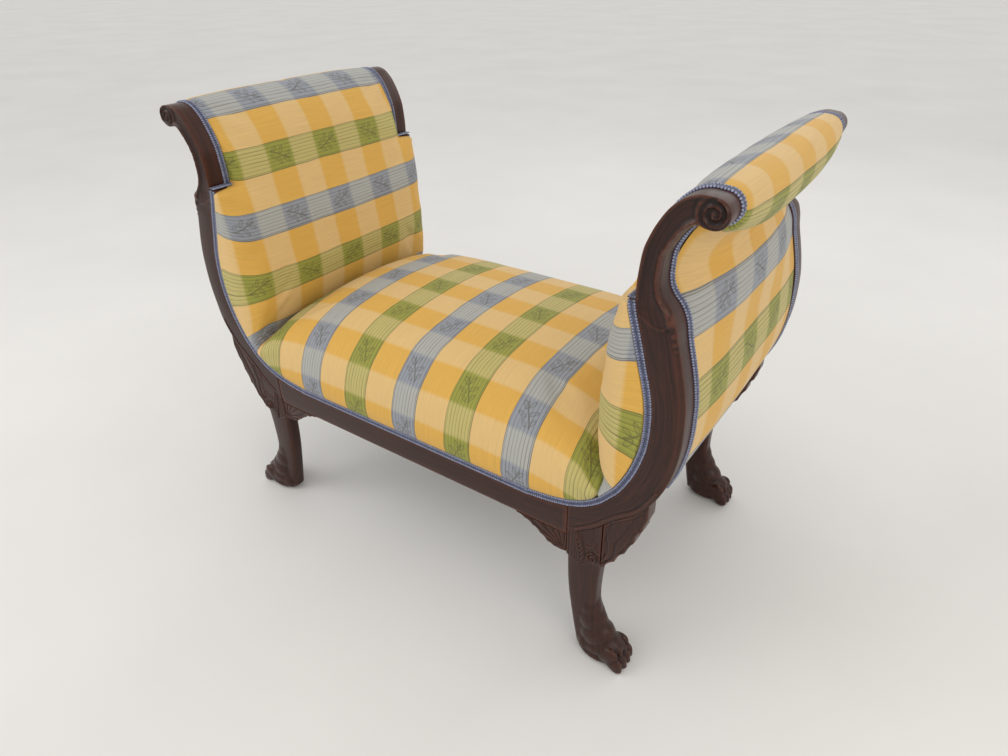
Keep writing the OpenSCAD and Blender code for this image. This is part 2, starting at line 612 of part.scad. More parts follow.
// A line round the pad at station v: how far it lies under the cover's outside, or at the wood if inner
function pad_line(v, under_cover, inner, end_gap) = [for (o = pad_order) let (
        row = pad_rows[o[0]],
        wide = o[1] == 1,
        d = (row[1] - row[0]) / norm(row[1] - row[0]),
        rest = (wide ? gimp_w : 0) + (inner ? chord_gap : soft_gap),
        edge = rest + cover_t + 2 * soft_gap,
        full = max(norm(row[1] - row[0]), edge) - edge,
        out = edge + full * pad_swell(v, o[0] > pad_notch + 1) - under_cover,
        q = row[0] + d * (inner ? rest : out),
        drop = o[0] == pad_notch ? under_cover + (wide ? fit_gap : 0) : 0,
        half = (wide ? half_d : half_d - stile_t - soft_gap) - end_gap)
    [q[0], -v * half, q[1] - drop]];
module arm_cover() {
    loft([for (v = arm_stations) concat(pad_line(v, 0, false, 0), flip(pad_line(v, cover_t, false, 0)))]);
}
// The stuffing's sections lie under those of the cover, without its two ends
module arm_stuffing() {
    loft([for (k = [1:len(arm_stations) - 2]) let (v = arm_stations[k]) concat(
        pad_line(v, cover_t + soft_gap, false, 0), flip(pad_line(v, cover_t, true, 0)))]);
}
// Burlap behind the arm pad, between the stiles
module arm_burlap() {
    i0 = pad_row * steps + 1;
    up = normal_at(face, notch_i);
    step_z = cover_t + 2 * soft_gap;
    function line(in) = concat(
        [for (i = [i0:notch_i - 2]) face[i] + normal_at(face, i) * (gimp_w - in)],
        [face[notch_i] + up * (gimp_w - in) - [0, step_z + 2 * burlap_t + in],
            face[notch_i] - up * in - [0, step_z + in]],
        [for (i = [notch_i + 1:head_i]) face[i] - normal_at(face, i) * in]);
    slab(-bar_l / 2, bar_l) polygon(concat(line(0), flip(line(burlap_t))));
}
// Outer panel, from the outer rail up to the neck: how far its cloth stands out and hangs down midway
// between the stiles, as shares of stile_w at each row of the stile's table
panel_bulge_shares = [[0, 0], [0.04, 0], [0.06, 0], [0.08, 0], [0.10, 0], [0.12, 0], [0.14, 0], [0.18, 0],
    [0.24, 0], [0.36, 0], [0.54, -0.02], [0.76, -0.06], [0.82, -0.14], [0.72, -0.20], [0.56, -0.28],
    [0.44, -0.24]];
panel_bulge = smooth([for (s = panel_bulge_shares) s * stile_w], steps);
panel_low_i = outer_rail_top_row * steps;
// The panel ends where its cloth would meet the underside of the roll
roll_centre_share = -0.67;
roll_reach_share = 2.5;
roll_c = curl_c + curl_r * roll_centre_share * [1, 1];
function clear_of_roll(i) =
    norm(back[i] + panel_bulge[i - panel_low_i] - roll_c) > curl_r * roll_reach_share + cover_t;
panel_rows = [for (i = [panel_low_i + 2:2:neck_row * steps]) if (clear_of_roll(i)) i];
panel_station_shares = [0, 0.36, 0.62, 0.80, 0.93, 1];
panel_stations = concat([for (i = [len(panel_station_shares) - 1:-1:1]) -panel_station_shares[i]],
    panel_station_shares);
bulge_power = 3;
// A line up the panel at station v, at a depth under the cloth's outside
function panel_line(rows, v, depth, out) = [for (i = rows) let (
        q = back[i] + panel_bulge[i - panel_low_i] * (out ? 1 - pow(abs(v), bulge_power) : 0)
            + normal_at(face, i) * depth)
    [q[0], v * bar_l / 2, q[1]]];
module outer_cover() {
    loft([for (v = panel_stations)
        concat(flip(panel_line(panel_rows, -v, 0, true)), panel_line(panel_rows, -v, cover_t, true))]);
}
// The wadding fills the panel out behind its cloth, where the cloth leaves the stile's line
wadding_rows = [for (i = panel_rows) if (i >= wadding_row * steps) i];
module outer_wadding() {
    loft([for (k = [1:len(panel_stations) - 2]) let (v = -panel_stations[k])
        concat(flip(panel_line(wadding_rows, v, cover_t + soft_gap, true)),
            panel_line(wadding_rows, v, cover_t, false))]);
}
module outer_lining() {
    outer = [for (i = panel_rows) back[i] + normal_at(face, i) * (cover_t + soft_gap)];
    inner = [for (i = panel_rows) back[i] + normal_at(face, i) * (cover_t + soft_gap + burlap_t)];
    slab(-bar_l / 2, bar_l) polygon(concat(outer, flip(inner)));
}

// Braid along the rail and up both stiles to the notches, lying in the rebate
module long_gimp() {
    low = concat([for (p = flip(half_face)) [-p[0], p[1]]], half_face);
    high = concat([for (p = flip(half_edge)) [-p[0], p[1]]], half_edge);
    slab(-half_d + rebate_d - gimp_t - fit_gap, gimp_t) polygon(concat(low, flip(high)));
}
// Braid on the step at the notch, over the roll, round the curl and down the outer side of the stile
roll_gimp_y = -half_d + stile_t - gimp_w;
wrap_angle = 80;
wrap_step = 8;
module roll_gimp() {
    up = [for (i = [notch_i:last_i]) i];
    down = [for (i = [last_i:-1:outer_rail_top_row * steps]) i];
    arc = [for (a = [wrap_angle:-wrap_step:-wrap_angle]) [cos(a), sin(a)]];
    near = concat([for (i = up) face[i] + normal_at(face, i) * soft_gap],
        [for (u = arc) curl_c + (curl_r + soft_gap) * u],
        [for (i = down) back[i] - normal_at(face, i) * soft_gap]);
    away = concat([for (i = up) face[i] + normal_at(face, i) * gimp_t],
        [for (u = arc) curl_c + (curl_r + gimp_t) * u],
        [for (i = down) back[i] - normal_at(face, i) * gimp_t]);
    step = face[notch_i];
    slab(roll_gimp_y, gimp_w - soft_gap) polygon(concat(near, flip(away)));
    translate([step[0] - gimp_w, -half_d, step[1] + fit_gap])
        cube([gimp_w - 2 * fit_gap, stile_t - soft_gap, gimp_t - fit_gap]);
}
// Braid along the bottom edge of the outer panel, on the outer rail
module hem_gimp() {
    rows = [for (i = [(outer_rail_top_row - 1) * steps + 1:outer_rail_top_row * steps]) i];
    near = [for (i = rows) back[i] - normal_at(face, i) * fit_gap];
    away = [for (i = rows) back[i] - normal_at(face, i) * gimp_t];
    slab(-bar_l / 2, bar_l) polygon(concat(near, flip(away)));
}

in_wood() seat_rail();  // front_seat_rail
in_wood() at_back_right() seat_rail();  // back_seat_rail
in_wood() at_left() end_rail();  // left_end_rail
in_wood() end_rail();  // right_end_rail
in_hidden_wood() brace();  // seat_centre_brace
in_wood() at_front_left() stile();  // front_left_stile
in_wood() at_front_right() stile();  // front_right_stile
in_wood() at_back_left() stile();  // back_left_stile
in_wood() at_back_right() stile();  // back_right_stile
in_wood() at_front_left() leg();  // front_left_leg
in_wood() at_front_right() leg();  // front_right_leg
in_wood() at_back_left() leg();  // back_left_leg
in_wood() at_back_right() leg();  // back_right_leg
in_wood() at_front_left() ear();  // front_left_ear
in_wood() at_front_right() ear();  // front_right_ear
in_wood() at_back_left() ear();  // back_left_ear
in_wood() at_back_right() ear();  // back_right_ear
in_wood() at_front_left() leaf();  // front_left_leaf
in_wood() at_front_right() leaf();  // front_right_leaf
in_wood() at_back_left() leaf();  // back_left_leaf
in_wood() at_back_right() leaf();  // back_right_leaf
in_hidden_wood() at_left() roll_rail();  // left_roll_rail
in_hidden_wood() roll_rail();  // right_roll_rail
in_hidden_wood() at_left() arm_slat();  // left_arm_slat
in_hidden_wood() arm_slat();  // right_arm_slat
in_hidden_wood() at_left() tacking_rail();  // left_tacking_rail
in_hidden_wood() tacking_rail();  // right_tacking_rail
in_wood() at_left() outer_rail();  // left_outer_rail
in_wood() outer_rail();  // right_outer_rail
in_hidden_wood() {  // corner_blocks
    at_front_right() corner_block();
    at_front_left() corner_block();
    at_back_right() corner_block();
    at_back_left() corner_block();
}
in_steel() {  // corner_screws
    at_front_right() screw_pair(0, 0);
    at_front_left() screw_pair(0, 0);
    at_back_right() screw_pair(0, 0);
    at_back_left() screw_pair(0, 0);
}
in_hidden_wood() {  // leg_dowels
    at_front_right() dowels(0);
    at_front_left() dowels(0);
    at_back_right() dowels(0);
    at_back_left() dowels(0);
}
in_burlap() webbing();  // seat_webbing
in_steel() springs();  // seat_springs
in_burlap() seat_burlap();
in_stuffing() seat_stuffing();
in_fabric() seat_cover();
in_burlap() at_left() arm_burlap();  // left_arm_burlap
in_burlap() arm_burlap();  // right_arm_burlap
in_stuffing() at_left() arm_stuffing();  // left_arm_stuffing
in_stuffing() arm_stuffing();  // right_arm_stuffing
in_fabric() at_left() arm_cover();  // left_arm_cover
in_fabric() arm_cover();  // right_arm_cover
in_burlap() at_left() outer_lining();  // left_outer_lining
in_burlap() outer_lining();  // right_outer_lining
in_stuffing() at_left() outer_wadding();  // left_outer_wadding
in_stuffing() outer_wadding();  // right_outer_wadding
in_fabric() at_left() outer_cover();  // left_outer_cover
in_fabric() outer_cover();  // right_outer_cover
in_gimp() long_gimp();  // front_gimp
in_gimp() at_back_right() long_gimp();  // back_gimp
in_gimp() at_front_left() roll_gimp();  // front_left_roll_gimp
in_gimp() at_front_right() roll_gimp();  // front_right_roll_gimp
in_gimp() at_back_left() roll_gimp();  // back_left_roll_gimp
in_gimp() at_back_right() roll_gimp();  // back_right_roll_gimp
in_gimp() at_left() hem_gimp();  // left_hem_gimp
in_gimp() hem_gimp();  // right_hem_gimp
in_burlap() dust_cloth();
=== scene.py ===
# Looks of a recamier: an upholstered bench with two scrolled arms, no back, and four carved paw feet.
# X runs along the bench, -Y is its front and Z is up. Shapes are worked out in millimetres and made in metres.
import math

import bpy
import numpy as np
from bpy.props import FloatProperty, FloatVectorProperty, PointerProperty
from mathutils import Matrix, Vector
from mathutils.geometry import delaunay_2d_cdt


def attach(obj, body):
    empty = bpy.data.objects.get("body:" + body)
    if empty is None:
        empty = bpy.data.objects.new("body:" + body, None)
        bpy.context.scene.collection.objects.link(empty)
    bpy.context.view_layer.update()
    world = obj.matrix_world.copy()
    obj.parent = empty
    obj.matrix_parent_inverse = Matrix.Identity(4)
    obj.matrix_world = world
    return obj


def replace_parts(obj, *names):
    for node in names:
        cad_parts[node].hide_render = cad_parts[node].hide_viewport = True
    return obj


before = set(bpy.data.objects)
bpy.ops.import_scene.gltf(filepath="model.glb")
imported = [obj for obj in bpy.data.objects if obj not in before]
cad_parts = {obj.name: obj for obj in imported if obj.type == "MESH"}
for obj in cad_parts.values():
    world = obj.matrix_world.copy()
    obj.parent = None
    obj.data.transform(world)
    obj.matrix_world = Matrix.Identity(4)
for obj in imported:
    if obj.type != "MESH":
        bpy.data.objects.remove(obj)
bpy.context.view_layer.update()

bl_info = {
    "name": "Recamier",
    "version": (1, 0, 0),
    "blender": (4, 5, 0),
    "location": "View3D > Sidebar > Recamier",
    "description": "Builds the carved wood, plaid upholstery and braid of a bench with two scrolled arms",
    "category": "Add Mesh",
}

MM = 0.001

# Sizes of the frame, as in the part
HALF_L, HALF_D, TOP_Z, LINE_Z = 600.0, 305.0, 948.0, 347.0
REACH, STILE_W, STILE_T, RAIL_H, RAIL_T = 207.0, 50.0, 50.0, 55.0, 40.0
LEG_W, LEG_T, PAW_L, PAW_W = 62.0, 34.0, 94.0, 64.0
EAR_L, EAR_H, EAR_T, LEAF_FOOT, LEAF_L = 112.0, 44.0, 20.0, 250.0, 78.0
CROWN_Z, SEAT_DIP, SEAT_HALF, PAD_T, GIMP_W, CLOTH_T = 545.0, 93.0, 448.0, 124.0, 13.0, 2.0
BLOCK_X, ARM_H, LEG_H = HALF_L - REACH, TOP_Z - LINE_Z, LINE_Z - RAIL_H
BAR_HALF = HALF_D - STILE_T - 0.2

# Reach, rise, width and arm pad of a stile along its face line, as in the part
STILE_ROWS = np.array([
    [0.000, 0.025, 1.10, 0.12], [0.155, 0.048, 0.90, 0.14], [0.295, 0.083, 0.74, 0.17],
    [0.400, 0.125, 0.84, 0.30], [0.465, 0.155, 0.94, 0.56], [0.550, 0.213, 1.00, 0.79],
    [0.606, 0.268, 1.02, 0.89], [0.643, 0.321, 1.00, 0.94], [0.657, 0.368, 1.00, 0.96],
    [0.657, 0.421, 1.00, 0.96], [0.645, 0.466, 1.02, 0.93], [0.618, 0.512, 1.04, 0.88],
    [0.580, 0.559, 1.06, 0.79], [0.541, 0.609, 1.06, 0.68], [0.498, 0.661, 1.10, 0.53],
    [0.462, 0.704, 1.00, 0.37], [0.445, 0.737, 0.82, 0.27], [0.441, 0.770, 0.68, 0.21],
    [0.446, 0.805, 0.62, 0.18], [0.464, 0.857, 0.60, 0.155], [0.498, 0.892, 0.62, 0.14],
    [0.543, 0.925, 0.66, 0.13], [0.609, 0.960, 0.71, 0.12], [0.686, 0.9845, 0.77, 0.115],
    [0.749, 0.9953, 0.81, 0.105], [0.816, 0.9998, 0.83, 0.105], [0.899, 0.9976, 0.84, 0.105]])
NOTCH = 16
NECK = 20


# Curves and flat shapes
def smooth(points, n):
    """Catmull-Rom curve through points, n steps to a span."""
    p = np.asarray(points, float)
    p = p[:, None] if p.ndim == 1 else p
    m, t, out = len(p) - 1, np.arange(n)[:, None] / n, []
    for i in range(m):
        a, b, c, d = p[max(i - 1, 0)], p[i], p[i + 1], p[min(i + 2, m)]
        out.append(0.5 * (2 * b + (c - a) * t + (2 * a - 5 * b + 4 * c - d) * t ** 2
                          + (3 * b - a - 3 * c + d) * t ** 3))
    return np.vstack(out + [p[m:]])


def normals(p):
    """The normal of a line at each of its points, a quarter turn left of its direction."""
    d = np.vstack([p[1] - p[0], p[2:] - p[:-2], p[-1] - p[-2]])
    n = np.stack([-d[:, 1], d[:, 0]], 1)
    return n / np.linalg.norm(n, axis=1)[:, None]


def arc(p):
    """Distance along a line of points."""
    return np.concatenate([[0], np.cumsum(np.linalg.norm(np.diff(p, axis=0), axis=1))])


def evenly(p, step):
    """The same line with even steps."""
    s = arc(p)
    n = max(2, int(round(s[-1] / step)) + 1)
    t = np.linspace(0, s[-1], n)
    return np.stack([np.interp(t, s, p[:, k]) for k in range(p.shape[1])], 1)


def ease(x, a, b):
    """0 below a and 1 above b, with soft ends."""
    t = np.clip((np.asarray(x, float) - a) / (b - a), 0, 1)
    return t * t * (3 - 2 * t)


def bump(x, width):
    """1 at 0, falling away softly over about width."""
    return np.exp(-(np.asarray(x, float) / width) ** 2)


def nearest(points, line):
    """For each point: its distance to a line of points, its place on it in steps, and its side (1 is left)."""
    a, d = line[:-1], np.diff(line, axis=0)
    best, place, side = [], [], []
    for k in range(0, len(points), 1500):
        p = points[k:k + 1500, None, :]
        t = np.clip(((p - a) * d).sum(2) / np.maximum((d * d).sum(1), 1e-12), 0, 1)
        off = p - (a + t[..., None] * d)
        q = np.linalg.norm(off, axis=2)
        i = q.argmin(1)
        r = np.arange(len(i))
        best.append(q[r, i])
        place.append(i + t[r, i])
        side.append(np.sign(d[i, 0] * off[r, i, 1] - d[i, 1] * off[r, i, 0]))
    return np.concatenate(best), np.concatenate(place), np.concatenate(side)


def inside(points, ring):
    """Which points lie inside a closed outline."""
    x, z = points[:, 0], points[:, 1]
    a, b = ring, np.roll(ring, -1, axis=0)
    hit = np.zeros(len(points), bool)
    for (x0, z0), (x1, z1) in zip(a, b):
        if z0 != z1:
            hit ^= ((z0 > z) != (z1 > z)) & (x < (x1 - x0) * (z - z0) / (z1 - z0) + x0)
    return hit


FINE = 10
FACE = smooth(np.stack([BLOCK_X + REACH * STILE_ROWS[:, 0], LINE_Z + ARM_H * STILE_ROWS[:, 1]], 1), FINE)
FACE_N = normals(FACE)
WIDE = smooth(STILE_W * STILE_ROWS[:, 2], FINE)[:, 0]
PAD = smooth(PAD_T * STILE_ROWS[:, 3], FINE)[:, 0]
BACK = FACE - FACE_N * WIDE[:, None]
CURL_R = STILE_W * STILE_ROWS[-1, 2] / 2
CURL = (FACE[-1] + BACK[-1]) / 2
BLOCK_TOP = FACE[0, 1]
BLOCK_LOW = BLOCK_TOP - STILE_W * STILE_ROWS[0, 2]
RAIL = smooth([[BLOCK_X * x, LINE_Z + (BLOCK_TOP - LINE_Z) * r] for x, r in
               [(0, 0), (0.70, 0), (0.80, 0.12), (0.91, 0.48), (1, 1)]], FINE)
RAIL[:, 1] = np.maximum(RAIL[:, 1], LINE_Z)
HALF_FACE = np.vstack([RAIL[:-1], FACE[:NOTCH * FINE]])
HALF_EDGE = HALF_FACE + normals(HALF_FACE) * GIMP_W


def edge_z(x):
    """Height of the braid's inner edge, where the seat's cloth starts."""
    return np.interp(np.abs(x), HALF_EDGE[:, 0][:len(RAIL) + 6 * FINE], HALF_EDGE[:, 1][:len(RAIL) + 6 * FINE])


def under_z(x):
    """Height of the stile's lower edge, less the gap under it."""
    line = np.vstack([[[BLOCK_X, BLOCK_LOW]], BACK[:5 * FINE][BACK[:5 * FINE, 0] > BLOCK_X + 0.5]])
    return np.interp(x, line[:, 0], line[:, 1]) - 0.4


# Meshes
def linear(code):
    """A hex sRGB colour as linear RGBA."""
    c = [int(code[i:i + 2], 16) / 255 for i in (1, 3, 5)]
    return tuple(x / 12.92 if x <= 0.04045 else ((x + 0.055) / 1.055) ** 2.4 for x in c) + (1.0,)


def make(name, points, faces, materials, uv=None, facts=None, sharp=None):
    """A mesh object from points in millimetres, riding on the bench, with a map and values on its points."""
    mesh = bpy.data.meshes.new(name)
    mesh.from_pydata((np.asarray(points, float) * MM).tolist(), [], [list(map(int, f)) for f in faces])
    for m in materials:
        mesh.materials.append(m)
    mesh.polygons.foreach_set("use_smooth", [True] * len(mesh.polygons))
    if uv is not None:
        corner = np.zeros(len(mesh.loops), np.int32)
        mesh.loops.foreach_get("vertex_index", corner)
        layer = mesh.uv_layers.new(name="cloth_map")
        layer.data.foreach_set("uv", (np.asarray(uv, float)[corner] * MM).astype(np.float32).ravel())
    for key, values in (facts or {}).items():
        mesh.attributes.new(key, "FLOAT", "POINT").data.foreach_set("value", np.asarray(values, np.float32))
    if sharp is not None:
        mesh.set_sharp_from_angle(angle=math.radians(sharp))
    mesh.update()
    piece = bpy.data.objects.new(name, mesh)
    bpy.context.scene.collection.objects.link(piece)
    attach(piece, "root")
    return piece


def relief(points, faces):
    """How raised (1) or hollow (-1) each point is beside its neighbours, for worn edges and dark hollows."""
    p = np.asarray(points, float)
    edges = set()
    for f in faces:
        for i in range(len(f)):
            a, b = int(f[i]), int(f[(i + 1) % len(f)])
            edges.add((min(a, b), max(a, b)))
    e = np.array(sorted(edges))
    total, count, n = np.zeros_like(p), np.zeros(len(p)), np.zeros_like(p)
    for a, b in ((0, 1), (1, 0)):
        np.add.at(total, e[:, a], p[e[:, b]])
        np.add.at(count, e[:, a], 1)
    tri = np.array([[f[0], f[i], f[i + 1]] for f in faces for i in range(1, len(f) - 1)])
    cross = np.cross(p[tri[:, 1]] - p[tri[:, 0]], p[tri[:, 2]] - p[tri[:, 0]])
    for k in range(3):
        np.add.at(n, tri[:, k], cross)
    n /= np.maximum(np.linalg.norm(n, axis=1), 1e-9)[:, None]
    lap = p - total / np.maximum(count, 1)[:, None]
    value = np.clip((lap * n).sum(1) / 0.35, -1, 1)
    for _ in range(2):
        mean = np.zeros(len(p))
        for a, b in ((0, 1), (1, 0)):
            np.add.at(mean, e[:, a], value[e[:, b]])
        value = 0.5 * value + 0.5 * mean / np.maximum(count, 1)
    return np.clip(value * 1.6, -1, 1)


def four(name, points, faces, materials, uv, facts, sharp=None):
    """The front right piece and its mirror images at the other three corners."""
    out = []
    for back in (False, True):
        for left in (False, True):
            flip = np.array([-1 if left else 1, -1 if back else 1, 1])
            turned = faces if left == back else [f[::-1] for f in faces]
            corner = f"{'back' if back else 'front'}_{'left' if left else 'right'}"
            out.append((corner, make(f"{name}_{corner}", points * flip, turned, materials, uv, facts, sharp)))
    return out


def two(name, points, faces, materials, uv, facts=None, sharp=None, axis=0):
    """A piece and its mirror image, right and left or front and back."""
    out = []
    for other in (False, True):
        flip = np.ones(3)
        flip[axis] = -1 if other else 1
        side = (("right", "left") if axis == 0 else ("front", "back"))[other]
        turned = [f[::-1] for f in faces] if other else faces
        out.append((side, make(f"{name}_{side}", points * flip, turned, materials, uv, facts, sharp)))
    return out


def grid_faces(rows, cols, base=0, ring=False, flip=False):
    """Quads over a grid of points; a ring joins the last column to the first."""
    out = []
    for i in range(rows - 1):
        for j in range(cols if ring else cols - 1):
            k = (j + 1) % cols
            f = [base + i * cols + j, base + i * cols + k, base + (i + 1) * cols + k, base + (i + 1) * cols + j]
            out.append(f[::-1] if flip else f)
    return out


def carve(outline, y_front, y_back, height, step, round_r=2.0, back_round=1.0, place=None):
    """A board cut to an outline in X and Z whose front is carved: height gives how far it stands out."""
    ring = []
    for a, b in zip(outline, np.roll(outline, -1, axis=0)):
        n = max(1, int(np.linalg.norm(b - a) / step + 0.5))
        ring += [a + (b - a) * k / n for k in range(n)]
    ring = np.array(ring)
    gap = np.linalg.norm(ring - np.roll(ring, 1, axis=0), axis=1)
    ring = ring[gap > 0.3 * step]
    area = 0.5 * np.sum(ring[:, 0] * np.roll(ring[:, 1], -1) - ring[:, 1] * np.roll(ring[:, 0], -1))
    ring = ring if area > 0 else ring[::-1]
    closed = np.vstack([ring, ring[:1]])
    lo, hi = ring.min(0), ring.max(0)
    rows = np.arange(lo[1], hi[1], step * 0.866)
    grid = np.array([[x + (0.5 * step if k % 2 else 0), z] for k, z in enumerate(rows)
                     for x in np.arange(lo[0], hi[0], step)])
    grid = grid[inside(grid, ring)]
    d = nearest(grid, closed)[0]
    grid = grid[d > max(round_r + 0.4 * step, 0.6 * step)]
    t = np.roll(ring, -1, axis=0) - np.roll(ring, 1, axis=0)
    inward = np.stack([-t[:, 1], t[:, 0]], 1) / np.maximum(np.linalg.norm(t, axis=1), 1e-9)[:, None]
    bands = []
    for share in (0.12, 0.42, 1.0):
        q = ring + inward * round_r * share
        keep = inside(q, ring) & (nearest(q, closed)[0] > 0.93 * round_r * share)
        bands.append(q[keep])
    flat = np.vstack([ring] + bands + [grid])
    n = len(ring)
    loop = [(i, (i + 1) % n) for i in range(n)]
    made = delaunay_2d_cdt([Vector(p) for p in flat], loop, [], 1, 1e-5)
    xz = np.array([tuple(v) for v in made[0]])
    faces = [list(f) for f in made[2]]
    source = {}
    for i, where in enumerate(made[3]):
        for k in where:
            source[k] = i
    ring_at = [source[i] for i in range(n)]
    d = nearest(xz, closed)[0]
    e = np.clip(d, 0, round_r)
    rounding = round_r - np.sqrt(np.maximum(round_r ** 2 - (round_r - e) ** 2, 0))
    h = height(xz, d) - rounding
    front = np.stack([xz[:, 0], y_front - h, xz[:, 1]], 1)
    points, faces_out = [front], []
    for f in faces:
        a, b, c = (xz[k] for k in f[:3])
        up = (b[0] - a[0]) * (c[1] - a[1]) - (b[1] - a[1]) * (c[0] - a[0]) > 0
        faces_out.append(f if up else f[::-1])
    count = len(front)
    rim = front[ring_at]
    previous, y_last = list(ring_at), rim[:, 1]
    levels = [0.33, 0.66, 1.0]
    for k, share in enumerate(levels):
        y = y_last + (y_back - back_round - y_last) * share
        points.append(np.stack([ring[:, 0], y, ring[:, 1]], 1))
        now = list(range(count, count + n))
        faces_out += [[previous[i], now[i], now[(i + 1) % n], previous[(i + 1) % n]] for i in range(n)]
        previous, count = now, count + n
    back_ring = ring + inward * back_round
    points.append(np.stack([back_ring[:, 0], np.full(n, y_back), back_ring[:, 1]], 1))
    now = list(range(count, count + n))
    faces_out += [[previous[i], now[i], now[(i + 1) % n], previous[(i + 1) % n]] for i in range(n)]
    made = delaunay_2d_cdt([Vector(p) for p in ring], loop, [], 1, 1e-5)
    index = {k: i for i, where in enumerate(made[3]) for k in where}
    turn = {index[i]: now[i] for i in range(n) if i in index}
    for f in made[2]:
        if all(v in turn for v in f):
            a, b, c = (ring[next(k for k in made[3][v])] for v in f[:3])
            up = (b[0] - a[0]) * (c[1] - a[1]) - (b[1] - a[1]) * (c[0] - a[0]) > 0
            g = [turn[v] for v in f]
            faces_out.append(g[::-1] if up else g)
    points = np.vstack(points)
    along, across = place(points[:, [0, 2]]) if place else (points[:, 2], points[:, 0])
    uv = np.stack([along, across + 0.9 * (points[:, 1] - y_front)], 1)
    return points, faces_out, uv


# What a user would change
def length(name, description, default, least, most):
    """A length in metres that a user may set."""
    return FloatProperty(name=name, description=description, default=default, min=least, max=most, unit="LENGTH")


def colour(name, description, code):
    """A colour that a user may set, from its hex sRGB code."""
    return FloatVectorProperty(name=name, description=description, default=linear(code)[:3], size=3, min=0.0, max=1.0,
                               subtype="COLOR")


class RecamierSizes(bpy.types.PropertyGroup):
    plaid_repeat: length("Plaid repeat", "Length of one blue, yellow, green and yellow repeat of the cloth",
                         0.272, 0.1, 0.6)
    check_repeat: length("Check repeat", "Length of one deep and one pale check across the bands", 0.136, 0.05, 0.4)
    thread: length("Thread spacing", "Spacing of the threads, drawn coarser than the real 0.5 mm so that it shows",
                   0.0013, 0.0004, 0.004)
    scallop: length("Braid pitch", "Length of one scallop along the braid", 0.0075, 0.003, 0.02)
    carve_depth: length("Carving depth", "Depth of the hollow in the scrolls", 0.0042, 0.0, 0.008)
    grain: length("Grain width", "Width of one figure of the wood's grain", 0.0045, 0.001, 0.02)


class RecamierColours(bpy.types.PropertyGroup):
    wood_dark: colour("Dark wood", "Stain in the grain of the mahogany", "#1B0D0A")
    wood_mid: colour("Wood", "Body colour of the stained mahogany", "#341A13")
    wood_light: colour("Worn wood", "Colour where the edges are rubbed", "#6A3A26")
    gold: colour("Gold checks", "Deep checks of the yellow bands", "#DDAC50")
    cream: colour("Pale checks", "Pale checks of the yellow bands", "#E0BB7C")
    green: colour("Green band", "Pale checks of the green bands", "#C3B570")
    leaf: colour("Leaf green", "Deep checks of the green bands", "#9A9A42")
    grey: colour("Blue-grey band", "Pale checks of the blue-grey bands", "#B0B0AB")
    blue: colour("Blue checks", "Deep checks of the blue-grey bands", "#9599A1")
    stripe: colour("Pinstripes", "Dark threads along the blue-grey and green bands", "#4E4530")
    braid: colour("Braid", "Ground of the braid", "#3F4A70")
    # Painted highlight: the paler colour laid on the braid's raised cords
    braid_cord_highlight: colour("Braid cords", "Raised cords of the braid", "#767B98")


def rgba(value):
    """A linear colour with full alpha."""
    return (*value, 1.0)


# Share of the plaid's repeat that a blue-grey or green band takes: 62 mm of 272, which leaves 74 mm to a yellow one
NARROW = 62 / 272
# Dark threads to a band, and whole repeats before the cloth's middle
PINSTRIPES, WHOLE = 8, 20
# Leaves of the woven sprig, in half bands from its middle: place, turn, and half length and width
SPRIG_LEAVES = [(0.44, 0.46, 0.9, 0.30, 0.13), (0.02, 0.58, 2.1, 0.27, 0.12), (-0.28, 0.12, 2.6, 0.34, 0.13),
                (0.36, -0.10, 0.3, 0.32, 0.12), (-0.44, -0.38, 2.2, 0.28, 0.12), (0.08, -0.52, 0.8, 0.26, 0.11)]


# Materials
def node(tree, kind, inputs=(), out=0, stops=(), stepped=False, **settings):
    """Adds a node with its settings, its colour stops and its links, and gives one of its outputs."""
    made = tree.nodes.new("ShaderNode" + kind)
    for key, value in settings.items():
        setattr(made, key, value)
    for i, (place, tint) in enumerate(stops):
        element = made.color_ramp.elements[i] if i < 2 else made.color_ramp.elements.new(place)
        element.position, element.color = place, tint
    if stepped:
        made.color_ramp.interpolation = "CONSTANT"
    for key, value in (inputs.items() if isinstance(inputs, dict) else enumerate(inputs)):
        if isinstance(value, bpy.types.NodeSocket):
            tree.links.new(value, made.inputs[key])
        else:
            made.inputs[key].default_value = value
    return made.outputs[out] if len(made.outputs) else made


def material(name):
    """A new material and its empty node tree."""
    made = bpy.data.materials.new(name)
    made.use_nodes = True
    made.node_tree.nodes.clear()
    return made, made.node_tree


